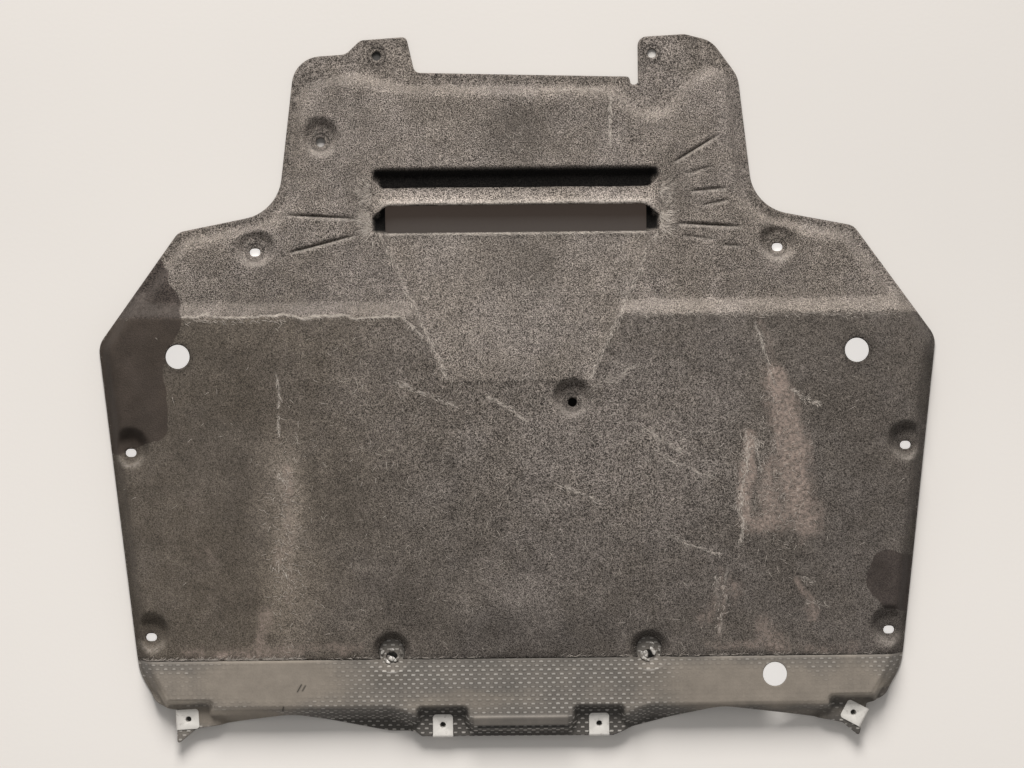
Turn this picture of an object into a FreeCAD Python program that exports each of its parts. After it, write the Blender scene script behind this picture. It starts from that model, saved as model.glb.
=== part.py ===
"""Engine undertray: a pressed felt shield with a studded plastic front strip and four U-nuts.

It lies road side up: X runs across the car, Y runs to its rear and Z points at the road.
Both sheets follow one pressing form, a solid that carries the relief on its top.
"""

import FreeCAD, Part
import math
import os

from FreeCAD import Vector

# Sheets
FELT_THICKNESS = 4.0
STRIP_THICKNESS = 2.8
SEAM_Y = -272.5             # straight seam between the felt and the strip

# Levels of the pressing form
RIM_LEVEL = FELT_THICKNESS  # so that the back of the rim lies on the ground
UPPER_RISE = 12.0           # rear area above the rim
STEP_RISE = 13.0            # front area above the rear area
UPPER_LEVEL = RIM_LEVEL + UPPER_RISE
MAIN_LEVEL = UPPER_LEVEL + STEP_RISE
FORM_DEPTH = 40.0           # solid form below the rim

# Outline: virtual corners on the right, mirrored on the left
SIDE_SHARE = 0.48           # most that one rounding takes of a side
WIDEST_X = 419.5
WIDEST_Y = 43.0
WIDEST_RADIUS = 22.0
TAB_FOOT_Y = -322.0         # where the end tabs leave the front corners
CORNER_FOOT = (352.0, -320.5, 3.0)
CORNER_BEND = (366.0, -313.0, 24.0)
CORNER_SIDE = (382.0, -285.0, 60.0)
SHOULDER_X = 338.5
SHOULDER_Y = 155.5
SHOULDER_RADIUS = 14.0
NECK_X = 238.5
NECK_Y = 175.0
NECK_RADIUS = 45.0
LOBE_X = 220.0
EAR_TOP_Y = 348.0
TOP_EDGE_Y = 310.0
FRONT_EDGE_Y = -351.0       # lip between the inner nuts
LEFT_SCALLOP = (-228.0, -327.0, 90.0)
RIGHT_SCALLOP = (200.0, -322.0, 60.0)

# Raised areas: rim left outside them, lean of their walls and easing of their top edges
RIM_WIDTH = 9.0
UPPER_WALL_RUN = 8.0
SIDE_RIM_WIDTH = 2.5
SIDE_WALL_RUN = 11.0
STEP_FOOT_Y = 83.0
STEP_RUN = 13.0
FOLD_Y = -321.0             # fold of the front lip
FOLD_RUN = 13.0
FOLD_DIP = 8.0              # the fold lies this much further forward between the inner nuts
EASE_DROP = 2.5             # flatter band along the top edges
EASE_RUN = 3.0

# Bolt seats and holes
SEAT_RADIUS = 12.0
SEAT_WALL_RUN = 8.0
SEAT_SHIFT = 5.0            # dimples reach further to the rear of their holes
SEAT_SEAM = 1.0             # the strip reaches this far round the front seats
UPPER_SEAT_DEPTH = 10.0
MAIN_SEAT_DEPTH = 12.0
BOLT_SLOT_WIDTH = 8.0
BOLT_SLOT_LENGTH = 11.0
BOLT_HOLE_RADIUS = 4.5
ACCESS_HOLE_RADIUS = 12.0
EAR_HOLE_X = 138.0
EAR_HOLE_Y = 330.0
SHOULDER_SEAT_X = 261.6
SHOULDER_SEAT_Y = 134.5
SIDE_SEAT_X = 386.5
SIDE_SEAT_Y = -64.8
CORNER_SEAT_X = 368.0
CORNER_SEAT_Y = -249.0
FRONT_SEAT_X = 128.2
FRONT_SEAT_Y = -270.6
LOBE_SEAT = (-194.8, 244.0)
CENTRE_SEAT = (54.6, -18.9)
ACCESS_HOLE_X = 337.8
ACCESS_HOLE_Y = 30.5
DRAIN_HOLE = (253.0, -291.0)

# Inlet ramp and louvre
RAMP_START_Y = 4.0
RAMP_START_HALF = 72.5
RAMP_END_Y = 152.5
RAMP_END_HALF = 131.0
RAMP_DEPTH = 24.6           # below the front area at the ramp's deep end
RAMP_WALL_RUN = 5.0
LOUVRE_HALF = 139.0
LOUVRE_TOP_Y = 216.0
LOUVRE_CORNER = 9.0
LOUVRE_WALL_RUN = 4.0
SLOT_CORNER = 3.0
BLADE_NOSE_Y = 180.0
BLADE_TAIL_Y = 197.0
BLADE_SET = 1.0             # nose below the rear area
BLADE_DROP = 6.0            # tail below the nose
BLADE_THICKNESS = 3.0

# U-nuts and the pockets that they sit in
NUT_WIDTH = 20.0
NUT_LENGTH = 23.0
NUT_SHEET = 1.0
NUT_REACH = 12.5            # hole centre to the outside of the bend
NUT_CORNER = 3.5
NUT_SCREW_RADIUS = 2.9      # clearance hole in the front leaf
NUT_THREAD_RADIUS = 2.5
NUT_COLLAR_RADIUS = 4.5
NUT_COLLAR_LENGTH = 3.5
STRIP_HOLE_RADIUS = 5.0
NUT_SIDE_GAP = 0.5
OUTER_NUT_X = 332.0
OUTER_NUT_Y = -331.4
INNER_NUT_X = 78.0
INNER_NUT_Y = -339.6
LEFT_NUT_TURN = 183.0       # degrees from +X to the bend
RIGHT_NUT_TURN = -28.0
INNER_NUT_TURN = -90.0
SHELF_LEVEL = 15.0          # flat tabs that the nuts clip on
SHELF_HALF = 106.0
TAB_RADIUS = 32.0
POCKET_HALF = 20.0
POCKET_WALL_RUN = 5.0
POCKET_BACK = 13.6          # hole centre to the pocket's rear wall
POCKET_CORNER = 6.0
TONGUE_HALF = 46.0          # plain ledge between the inner nuts
TONGUE_EDGE_Y = -340.0
LEDGE_WIDTH = 8.0
LEDGE_DROP = 4.0


def rounded_loop(corners, insets=None, z=0.0):
    """Closed wire round corners (x, y, radius), given anticlockwise.

    Each side, from its corner to the next, is first moved inwards by its inset. A radius is
    limited by the sides beside it.
    """
    count = len(corners)
    points = [Vector(x, y, z) for x, y, _ in corners]
    insets = insets or [0.0] * count
    heading = [(points[(i + 1) % count] - points[i]).normalize() for i in range(count)]
    base = [p + Vector(-h.y, h.x, 0) * inset for p, h, inset in zip(points, heading, insets)]
    moved = []
    for i in range(count):
        turn = heading[i - 1].cross(heading[i]).z
        along = (base[i] - base[i - 1]).cross(heading[i]).z / turn
        moved.append(base[i - 1] + heading[i - 1] * along)
    arcs = []
    for i, corner in enumerate(moved):
        back = moved[i - 1] - corner
        ahead = moved[(i + 1) % count] - corner
        half_angle = back.getAngle(ahead) / 2
        limit = SIDE_SHARE * min(back.Length, ahead.Length)
        reach = min(corners[i][2] / math.tan(half_angle), limit)
        radius = reach * math.tan(half_angle)
        back.normalize()
        ahead.normalize()
        middle = corner + (back + ahead).normalize() * (radius / math.sin(half_angle) - radius)
        arcs.append((corner + back * reach, middle, corner + ahead * reach))
    edges = []
    for i, (start, middle, end) in enumerate(arcs):
        edges.append(Part.Arc(start, middle, end).toShape())
        edges.append(Part.LineSegment(end, arcs[(i + 1) % count][0]).toShape())
    return Part.Wire(edges)


def prism(corners, bottom=-FORM_DEPTH, top=2 * FORM_DEPTH):
    """Upright solid over a rounded loop."""
    return Part.Face(rounded_loop(corners, z=bottom)).extrude(Vector(0, 0, top - bottom))


def rectangle(x_min, x_max, y_min, y_max, radius):
    """Corners of a rounded rectangle."""
    return [(x_min, y_min, radius), (x_max, y_min, radius), (x_max, y_max, radius), (x_min, y_max, radius)]


def cylinder(x, y, radius):
    """Upright round bar through the whole form."""
    return Part.makeCylinder(radius, 3 * FORM_DEPTH, Vector(x, y, -FORM_DEPTH))


def slot_bar(x, y):
    """Upright bar of a bolt slot's section: straight sides and half-round ends."""
    radius = BOLT_SLOT_WIDTH / 2
    half = BOLT_SLOT_LENGTH / 2
    ends = [Vector(x + across * (half - radius), y + along * radius, -FORM_DEPTH)
            for across, along in ((-1, -1), (1, -1), (1, 1), (-1, 1))]
    edges = [Part.LineSegment(ends[0], ends[1]).toShape(),
             Part.Arc(ends[1], Vector(x + half, y, -FORM_DEPTH), ends[2]).toShape(),
             Part.LineSegment(ends[2], ends[3]).toShape(),
             Part.Arc(ends[3], Vector(x - half, y, -FORM_DEPTH), ends[0]).toShape()]
    return Part.Face(Part.Wire(edges)).extrude(Vector(0, 0, 3 * FORM_DEPTH))


def side_bar(profile, half):
    """Solid over a closed outline of (y, z) points, from -half to half across."""
    points = [Vector(-half, y, z) for y, z in profile]
    return Part.Face(Part.makePolygon(points + points[:1])).extrude(Vector(2 * half, 0, 0))


def raised(corners, top_insets, slopes, top):
    """Raised area with an eased top edge: each wall leans out by its slope per mm of fall.

    A wall would meet the top at its inset; it stops short there, and a flatter band goes on.
    """
    fall = top - RIM_LEVEL + FORM_DEPTH / 2
    levels = [(fall, 0.0), (EASE_DROP, 0.0), (0.0, EASE_RUN)]
    loops = [rounded_loop(corners, [inset - slope * drop + ease for inset, slope in zip(top_insets, slopes)],
                          top - drop) for drop, ease in levels]
    return Part.makeLoft(loops, True, True)


def pocket(corners, floor, slope):
    """Cutter over a flat floor, whose walls lean out by slope per mm."""
    rise = MAIN_LEVEL + FORM_DEPTH / 2 - floor
    flare = [-slope * rise] * len(corners)
    loops = [rounded_loop(corners, z=floor), rounded_loop(corners, flare, floor + rise)]
    return Part.makeLoft(loops, True, True)


def mirrored(corners):
    """The same corners on the other side of the centreline."""
    return [(-x, y, radius) for x, y, radius in reversed(corners)]


def both_sides(x, y):
    """A place and its mirror image."""
    return [(-x, y), (x, y)]


def outline_corner():
    """Broad front corner on the right, between the end tab and the side."""
    return [CORNER_FOOT, CORNER_BEND, CORNER_SIDE]


def outline_side():
    """Right-hand side of the outline, from the widest place to the neck."""
    return [(WIDEST_X, WIDEST_Y, WIDEST_RADIUS), (SHOULDER_X, SHOULDER_Y, SHOULDER_RADIUS),
            (NECK_X, NECK_Y, NECK_RADIUS)]


def outline_rear():
    """Right ear with its notch, top edge, and the left ear with its torn tip."""
    right = [(LOBE_X + 4, EAR_TOP_Y - 42, 30), (LOBE_X - 22, EAR_TOP_Y - 6, 26),
             (EAR_HOLE_X + 33, EAR_TOP_Y + 1, 8), (EAR_HOLE_X - 14, EAR_TOP_Y - 1.5, 9),
             (EAR_HOLE_X - 14, TOP_EDGE_Y - 10, 2), (EAR_HOLE_X - 21, TOP_EDGE_Y - 12, 3),
             (EAR_HOLE_X - 23, TOP_EDGE_Y - 3, 3)]
    left = [(-EAR_HOLE_X + 38, TOP_EDGE_Y + 3, 7), (-EAR_HOLE_X + 30, EAR_TOP_Y + 1, 5),
            (-EAR_HOLE_X - 16, EAR_TOP_Y - 2, 8), (-EAR_HOLE_X - 31, EAR_TOP_Y - 16, 12),
            (-LOBE_X, EAR_TOP_Y - 19, 32)]
    return right + left


def outline_front():
    """Front edge from the left end tab to the right one, with a long scallop on each side."""
    left_tab = [(-OUTER_NUT_X - 11, TAB_FOOT_Y, 2), (-OUTER_NUT_X - 11.5, FRONT_EDGE_Y - 6, 2),
                (-OUTER_NUT_X + 8, FRONT_EDGE_Y + 10, 4)]
    scallops = [LEFT_SCALLOP, (-INNER_NUT_X - 54, FRONT_EDGE_Y + 5, 30),
                (-INNER_NUT_X - 27, FRONT_EDGE_Y + 4.6, 3), (-INNER_NUT_X - 21, FRONT_EDGE_Y, 3),
                (INNER_NUT_X + 14, FRONT_EDGE_Y - 0.6, 3), (INNER_NUT_X + 30, FRONT_EDGE_Y + 6, 12),
                RIGHT_SCALLOP, (OUTER_NUT_X - 26, FRONT_EDGE_Y + 13, 8)]
    right_tab = [(OUTER_NUT_X - 11, FRONT_EDGE_Y + 10, 3), (OUTER_NUT_X + 5.5, FRONT_EDGE_Y - 4, 2),
                 (OUTER_NUT_X + 13.5, TAB_FOOT_Y, 2)]
    return left_tab + scallops + right_tab


def outline():
    """The whole undertray seen from the road."""
    right = outline_corner() + outline_side()
    return outline_front() + right + outline_rear() + mirrored(right)


def rear_area():
    """Raised rear area: it follows the sides, and dips round the ears' pads."""
    side = outline_side()
    rear = [(LOBE_X + 4, EAR_TOP_Y - 42, 14), (EAR_HOLE_X + 48, TOP_EDGE_Y + 6, 18),
            (EAR_HOLE_X + 14, TOP_EDGE_Y - 36, 16), (EAR_HOLE_X - 10, TOP_EDGE_Y - 40, 16),
            (EAR_HOLE_X - 38, TOP_EDGE_Y - 13, 18), (-EAR_HOLE_X + 26, TOP_EDGE_Y - 10, 16),
            (-EAR_HOLE_X - 22, TOP_EDGE_Y + 3, 20), (-LOBE_X - 3.5, EAR_TOP_Y - 48, 26)]
    corners = side + rear + mirrored(side)
    lean = UPPER_WALL_RUN / UPPER_RISE
    beside = [RIM_WIDTH + UPPER_WALL_RUN] * len(side)
    behind = [UPPER_WALL_RUN] * (len(rear) - 1)
    hidden = [0.0]
    insets = beside + behind + beside + hidden
    return raised(corners, insets, [lean] * len(corners), UPPER_LEVEL)


def front_area():
    """Raised front area between the step, the sides and the fold of the lip."""
    share = (STEP_FOOT_Y - WIDEST_Y) / (SHOULDER_Y - WIDEST_Y)
    step_x = WIDEST_X + (SHOULDER_X - WIDEST_X) * share
    corner_slope = (CORNER_SIDE[0] - CORNER_BEND[0]) / (CORNER_SIDE[1] - CORNER_BEND[1])
    corner_x = CORNER_BEND[0] + corner_slope * (FOLD_Y - CORNER_BEND[1])
    right = [(INNER_NUT_X - 24, FOLD_Y - FOLD_DIP, 3), (INNER_NUT_X + 30, FOLD_Y - FOLD_DIP, 12),
             (INNER_NUT_X + 52, FOLD_Y, 25), (corner_x, FOLD_Y, CORNER_BEND[2]), CORNER_SIDE,
             (WIDEST_X, WIDEST_Y, WIDEST_RADIUS), (step_x, STEP_FOOT_Y, 12)]
    right.insert(0, (TONGUE_HALF, TONGUE_EDGE_Y, 3))
    corners = right + mirrored(right)
    fold_lean = FOLD_RUN / (MAIN_LEVEL - RIM_LEVEL)
    side_lean = SIDE_WALL_RUN / (MAIN_LEVEL - RIM_LEVEL)
    fold = [(0.0, fold_lean)] * 4
    sides = [(SIDE_RIM_WIDTH + SIDE_WALL_RUN, side_lean)] * 3
    step = [(STEP_RUN, STEP_RUN / STEP_RISE)]
    walls = fold + sides + step + sides + fold + fold[:1]
    solid = raised(corners, [inset for inset, _ in walls], [lean for _, lean in walls], MAIN_LEVEL)
    return solid.cut([ledge_cutter()] + nut_pockets())


def ledge_cutter():
    """Plain sloping face on the tongue between the inner nuts."""
    top = MAIN_LEVEL + FORM_DEPTH
    start = TONGUE_EDGE_Y + LEDGE_WIDTH
    end = TONGUE_EDGE_Y - LEDGE_WIDTH
    return side_bar([(start, top), (start, MAIN_LEVEL), (end, MAIN_LEVEL - 2 * LEDGE_DROP), (end, top)],
                    TONGUE_HALF + LEDGE_WIDTH)


def nut_pockets():
    """Recesses in the front area for the nuts, open to the front."""
    floor = SHELF_LEVEL - FELT_THICKNESS
    lean = POCKET_WALL_RUN / (MAIN_LEVEL - SHELF_LEVEL)
    front = FRONT_EDGE_Y - FORM_DEPTH
    spots = both_sides(INNER_NUT_X, INNER_NUT_Y) + both_sides(OUTER_NUT_X, OUTER_NUT_Y)
    plans = [rectangle(x - POCKET_HALF, x + POCKET_HALF, front, y + POCKET_BACK, POCKET_CORNER)
             for x, y in spots]
    return [pocket(plan, floor, lean) for plan in plans]


def shelves():
    """Flat tabs under the nuts: one across the middle and one at each end."""
    lean = FOLD_RUN / (MAIN_LEVEL - RIM_LEVEL)
    front = FRONT_EDGE_Y - FORM_DEPTH
    spans = [(-SHELF_HALF, SHELF_HALF)]
    spans += [(x - TAB_RADIUS, x + TAB_RADIUS) for x in (-OUTER_NUT_X, OUTER_NUT_X)]
    plans = [rectangle(left, right, front, FOLD_Y + POCKET_BACK, POCKET_CORNER) for left, right in spans]
    return [raised(plan, [0.0] * len(plan), [lean] * len(plan), SHELF_LEVEL) for plan in plans]


def seat_cutter(x, y, level, depth):
    """Bolt dimple: a flat seat with a leaning wall."""
    rise = depth + FORM_DEPTH
    cutter = Part.makeCone(SEAT_RADIUS, SEAT_RADIUS + SEAT_WALL_RUN * rise / depth, rise)
    cutter.translate(Vector(x, y + SEAT_SHIFT, level - depth))
    return cutter


def bolt_seats():
    """All bolt dimples."""
    rear = both_sides(SHOULDER_SEAT_X, SHOULDER_SEAT_Y) + [LOBE_SEAT]
    front = both_sides(SIDE_SEAT_X, SIDE_SEAT_Y) + both_sides(CORNER_SEAT_X, CORNER_SEAT_Y)
    front += both_sides(FRONT_SEAT_X, FRONT_SEAT_Y) + [CENTRE_SEAT]
    return ([seat_cutter(x, y, UPPER_LEVEL, UPPER_SEAT_DEPTH) for x, y in rear]
            + [seat_cutter(x, y, MAIN_LEVEL, MAIN_SEAT_DEPTH) for x, y in front])


def ramp_cutter():
    """Inlet ramp: a trapezium that sinks evenly from the front area to the louvre."""
    run = RAMP_END_Y - RAMP_START_Y
    slope = RAMP_DEPTH / run
    widen = (RAMP_END_HALF - RAMP_START_HALF + RAMP_WALL_RUN) / run
    start = RAMP_START_Y - RAMP_WALL_RUN
    end = RAMP_END_Y + LOUVRE_WALL_RUN
    start_half = RAMP_END_HALF - widen * (RAMP_END_Y - start)
    end_half = RAMP_END_HALF + widen * LOUVRE_WALL_RUN
    plan = [(-start_half, start, 3), (start_half, start, 3), (end_half, end, 3), (-end_half, end, 3)]
    shaft = pocket(plan, MAIN_LEVEL - 2 * RAMP_DEPTH, RAMP_WALL_RUN / (2 * RAMP_DEPTH))
    top = MAIN_LEVEL + FORM_DEPTH
    rise = RAMP_WALL_RUN * 4
    floor = [(RAMP_START_Y - rise, MAIN_LEVEL + slope * rise), (RAMP_END_Y, MAIN_LEVEL - RAMP_DEPTH),
             (end, MAIN_LEVEL - RAMP_DEPTH)]
    return shaft.common(side_bar(floor + [(end, top), (RAMP_START_Y - rise, top)], WIDEST_X))


def louvre_cutter():
    """Sunk bay that the louvre blade stands in."""
    front = RAMP_END_Y + LOUVRE_WALL_RUN / 2
    rear = LOUVRE_TOP_Y - LOUVRE_WALL_RUN
    plan = rectangle(-LOUVRE_HALF, LOUVRE_HALF, front, rear, LOUVRE_CORNER)
    return pocket(plan, RIM_LEVEL, LOUVRE_WALL_RUN / UPPER_RISE)


def pressing_form():
    """The solid whose top both sheets follow."""
    size = 2.4 * WIDEST_X
    slab = Part.makeBox(size, size, FORM_DEPTH, Vector(-size / 2, -size / 2, RIM_LEVEL - FORM_DEPTH))
    relief = slab.fuse([rear_area(), front_area()] + shelves())
    return relief.cut([ramp_cutter(), louvre_cutter()] + bolt_seats())


def lowered(form, depth):
    """A copy of the form moved down by depth."""
    copy = form.copy()
    copy.translate(Vector(0, 0, -depth))
    return copy


def strip_zone():
    """Everything in front of the seam, with a lobe round each front bolt seat."""
    half = 2 * WIDEST_X
    zone = prism(rectangle(-half, half, FRONT_EDGE_Y - half, SEAM_Y, 1))
    return zone.fuse([cylinder(x, y + SEAT_SHIFT, SEAT_RADIUS + SEAT_SEAM)
                      for x, y in both_sides(FRONT_SEAT_X, FRONT_SEAT_Y)])


def bolt_holes():
    """Slots in the paired seats, round holes in the ears and the single seats, and access holes."""
    slotted = both_sides(SHOULDER_SEAT_X, SHOULDER_SEAT_Y) + both_sides(SIDE_SEAT_X, SIDE_SEAT_Y)
    slotted += both_sides(CORNER_SEAT_X, CORNER_SEAT_Y) + both_sides(FRONT_SEAT_X, FRONT_SEAT_Y)
    slots = [slot_bar(x, y) for x, y in slotted]
    round_spots = both_sides(EAR_HOLE_X, EAR_HOLE_Y) + [LOBE_SEAT, CENTRE_SEAT]
    rounds = [cylinder(x, y, BOLT_HOLE_RADIUS) for x, y in round_spots]
    access_spots = both_sides(ACCESS_HOLE_X, ACCESS_HOLE_Y) + [DRAIN_HOLE]
    return slots + rounds + [cylinder(x, y, ACCESS_HOLE_RADIUS) for x, y in access_spots]


def louvre_slot():
    """Opening in the bay's floor between the ramp's end and the blade's nose."""
    return prism(rectangle(-RAMP_END_HALF, RAMP_END_HALF, RAMP_END_Y, BLADE_NOSE_Y, SLOT_CORNER))


def louvre_blade():
    """Slanted blade across the bay, its nose towards the ramp."""
    nose = UPPER_LEVEL - BLADE_SET
    tail = nose - BLADE_DROP
    profile = [(BLADE_NOSE_Y, nose), (BLADE_NOSE_Y, nose - BLADE_THICKNESS),
               (BLADE_TAIL_Y, tail - BLADE_THICKNESS), (BLADE_TAIL_Y, tail)]
    return side_bar(profile, LOUVRE_HALF + LOUVRE_WALL_RUN)


def felt_shield(form):
    """Felt sheet behind the seam."""
    below = lowered(form, FELT_THICKNESS)
    zone = prism(outline()).cut(strip_zone())
    sheet = zone.common(form).cut(below)
    sheet = sheet.cut(louvre_slot()).fuse(louvre_blade().cut(below))
    return sheet.cut(bolt_holes())


def nut_places():
    """Each nut's hole as (x, y, degrees to its bend)."""
    return [(-OUTER_NUT_X, OUTER_NUT_Y, LEFT_NUT_TURN), (-INNER_NUT_X, INNER_NUT_Y, INNER_NUT_TURN),
            (INNER_NUT_X, INNER_NUT_Y, INNER_NUT_TURN), (OUTER_NUT_X, OUTER_NUT_Y, RIGHT_NUT_TURN)]


def placed(shape, place):
    """A shape made about a nut's hole on the strip's face, moved to that nut."""
    x, y, turn = place
    shape.rotate(Vector(0, 0, 0), Vector(0, 0, 1), turn)
    shape.translate(Vector(x, y, SHELF_LEVEL - FELT_THICKNESS + STRIP_THICKNESS))
    return shape


def nut_bend_x():
    """Where the leaves end and the bend starts, along the nut."""
    return NUT_REACH - NUT_SHEET - STRIP_THICKNESS / 2


def nut_notch(place):
    """Room for a nut's bend in the strip's edge, and the hole under its screw."""
    half = NUT_WIDTH / 2 + NUT_SIDE_GAP
    edge = Part.makeBox(NUT_LENGTH, 2 * half, 2 * FORM_DEPTH, Vector(nut_bend_x(), -half, -FORM_DEPTH))
    return placed(edge.fuse(cylinder(0, 0, STRIP_HOLE_RADIUS)), place)


def front_strip(form):
    """Studded plastic sheet in front of the seam, flush with the felt at its back."""
    face = lowered(form, FELT_THICKNESS - STRIP_THICKNESS)
    zone = prism(outline()).common(strip_zone())
    sheet = zone.common(face).cut(lowered(form, FELT_THICKNESS))
    return sheet.cut(bolt_holes() + [nut_notch(place) for place in nut_places()])


def u_nut():
    """Spring-steel U-nut: two leaves, a bend and a threaded collar, about its hole."""
    half = NUT_WIDTH / 2
    bend_x = nut_bend_x()
    outer = STRIP_THICKNESS / 2 + NUT_SHEET
    bend = Part.makeCylinder(outer, NUT_WIDTH, Vector(bend_x, -half, -STRIP_THICKNESS / 2), Vector(0, 1, 0))
    leaves = Part.makeBox(NUT_LENGTH, NUT_WIDTH, 2 * outer,
                          Vector(NUT_REACH - NUT_LENGTH, -half, -STRIP_THICKNESS - NUT_SHEET))
    leaves = leaves.cut(Part.makeBox(NUT_LENGTH, NUT_WIDTH, 2 * outer,
                                     Vector(bend_x, -half, -STRIP_THICKNESS - NUT_SHEET)))
    gap = Part.makeBox(NUT_LENGTH, NUT_WIDTH, STRIP_THICKNESS,
                       Vector(bend_x - NUT_LENGTH, -half, -STRIP_THICKNESS))
    gap = gap.fuse(Part.makeCylinder(STRIP_THICKNESS / 2, NUT_WIDTH,
                                     Vector(bend_x, -half, -STRIP_THICKNESS / 2), Vector(0, 1, 0)))
    free_end = prism(rectangle(NUT_REACH - NUT_LENGTH, NUT_REACH + NUT_LENGTH, -half, half, NUT_CORNER))
    body = leaves.fuse(bend).cut(gap).common(free_end)
    collar = Part.makeCylinder(NUT_COLLAR_RADIUS, NUT_COLLAR_LENGTH + NUT_SHEET,
                               Vector(0, 0, -STRIP_THICKNESS - NUT_SHEET - NUT_COLLAR_LENGTH))
    thread = Part.makeCylinder(NUT_THREAD_RADIUS, FORM_DEPTH, Vector(0, 0, -FORM_DEPTH))
    screw = Part.makeCylinder(NUT_SCREW_RADIUS, FORM_DEPTH, Vector(0, 0, -STRIP_THICKNESS))
    return body.fuse(collar).cut([thread, screw]).removeSplitter()


def u_nuts():
    """The four nuts, each clipped on its tab of the strip."""
    return Part.makeCompound([placed(u_nut(), place) for place in nut_places()])


def main():
    """Build the three nodes, centre them on the ground and write them."""
    form = pressing_form()
    nodes = {"felt_shield": felt_shield(form), "front_strip": front_strip(form), "u_nuts": u_nuts()}
    box = Part.makeCompound(list(nodes.values())).optimalBoundingBox(False, False)
    os.makedirs("parts", exist_ok=True)
    for name, shape in nodes.items():
        shape.translate(Vector(-box.Center.x, -box.Center.y, -box.ZMin))
        shape.exportStep("parts/" + name + ".step")
        volume = round(shape.Volume / 1000, 1)
        print(name, "solids", len(shape.Solids), "valid", shape.isValid(), "volume cm3", volume)
    print("box", [round(v, 2) for v in (box.XLength, box.YLength, box.ZLength)], "moved by",
          [round(v, 2) for v in (-box.Center.x, -box.Center.y, -box.ZMin)])


if __name__ == "__main__":
    main()
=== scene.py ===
"""Looks of an engine undertray: pressed felt shield, studded plastic strip and four U-nuts.

Each sheet is meshed over its own CAD node. The node's underside gives the plan and the heights,
and the mesh adds soft edges, felt lumps, pleats, studs and loose fibres. Mesh code is in mm.
"""

import math

import bmesh
import bpy
import numpy as np
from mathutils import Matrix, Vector, geometry, kdtree, noise
from mathutils.bvhtree import BVHTree


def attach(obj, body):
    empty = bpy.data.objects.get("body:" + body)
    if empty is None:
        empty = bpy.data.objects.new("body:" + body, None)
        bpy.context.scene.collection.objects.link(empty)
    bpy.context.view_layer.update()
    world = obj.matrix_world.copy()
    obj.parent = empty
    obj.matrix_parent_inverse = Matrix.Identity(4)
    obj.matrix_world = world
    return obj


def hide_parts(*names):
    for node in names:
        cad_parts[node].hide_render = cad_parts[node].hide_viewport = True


bl_info = {
    "name": "Engine undertray",
    "version": (1, 0, 0),
    "blender": (4, 5, 0),
    "location": "3D View > Sidebar > Undertray",
    "description": "Builds the felt shield, the studded strip, the nuts and the stage",
    "category": "Object",
}

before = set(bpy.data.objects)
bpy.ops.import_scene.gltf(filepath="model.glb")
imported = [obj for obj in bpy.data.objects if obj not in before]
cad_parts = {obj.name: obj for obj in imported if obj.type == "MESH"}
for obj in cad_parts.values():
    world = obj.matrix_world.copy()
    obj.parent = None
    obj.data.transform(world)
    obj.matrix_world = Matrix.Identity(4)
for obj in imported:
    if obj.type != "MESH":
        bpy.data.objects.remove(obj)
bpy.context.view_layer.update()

MM = 0.001
PICTURE_WIDTH = 1.024
TRUE_SCALE_Z = 10.0
UP = Vector((0, 0, 1))
DOWN = Vector((0, 0, -1))
FAR = 500.0
WHITE = (1.0, 1.0, 1.0)

# Meshing of the sheets: square grid of heights, and what counts as a wall or a corner
RASTER_STEP = 2.0
RASTER_MARGIN = 2
WALL_SLOPE = 0.22
SHARP_TURN = 0.4

# Places and levels of the part in mm
FELT_THICKNESS = 4.0
STRIP_THICKNESS = 2.8
STRIP_LEVEL = 27.8
SEAM_Y = -269.6
BAY_HALF = 139.0
SLOT_FRONT = 155.4
BLADE_NOSE, BLADE_TAIL = (182.9, 15.0), (199.9, 9.0)
BAY_REAR = 219.0
STEP_Y = 86.0
STEP_TOP_Y = 72.0
SEAT_LEVEL = 15.8
FOLD_Y = -318.1
RAMP_TOE_Y = 7
RAMP_HALF = 73
RAMP_FLARE = 0.43
RING_RADIUS = 8.8
DIMPLE_RIM = 12.5

EAR_HOLES = [(-138.0, 332.9), (138.0, 332.9)]
LOBE_HOLE = (-194.8, 246.9)
CENTRE_HOLE = (54.6, -16.0)
SHOULDER_HOLES = [(-261.6, 137.4), (261.6, 137.4)]
SIDE_HOLES = [(-386.5, -61.9), (386.5, -61.9)]
CORNER_HOLES = [(-368.0, -246.1), (368.0, -246.1)]
FRONT_HOLES = [(-128.2, -267.7), (128.2, -267.7)]
ACCESS_HOLES = [(-337.8, 33.4), (337.8, 33.4)]
DRAIN_HOLE = (253.0, -288.1)
BOLT_HOLES = [LOBE_HOLE, CENTRE_HOLE] + SHOULDER_HOLES + SIDE_HOLES + CORNER_HOLES
RINGED_HOLES = EAR_HOLES + [LOBE_HOLE, CENTRE_HOLE] + SHOULDER_HOLES
NUT_HOLES = [(-332.0, -328.5), (-78.0, -336.7), (78.0, -336.7), (332.0, -328.5)]

# Felt masks: the tone mask holds the felt's own tone and painted highlights, the pale-line mask frayed fibres
# and painted highlights, the crease and louvre-bay masks painted shade.
FELT_MASKS = ("tone_and_painted_light", "stain", "mud", "painted_bay_shade", "quiet", "warm", "crease_shade", "fray_and_highlight")
# Strip masks: the gloss mask holds real gloss and painted glints, the mark mask scratch marks and a painted
# shadow line, the tone mask the strip's own tone and painted light and shade.
STRIP_MASKS = ("stud", "dust", "gloss_and_painted_glint", "plain", "lip", "marks_and_tongue_shadow", "tone_and_painted_light")
CREASE_WIDTH = 0.9
FRAY_WIDTH = 1.0
SCRATCH_RAGGED = 1.6
EDGE_FIBRES = 1500
WEAR_STEPS = 4096
FILM_THICKNESS = 0.3
RAMP_FOOT = ((-70, 4.5), (44, 5.2))
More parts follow.
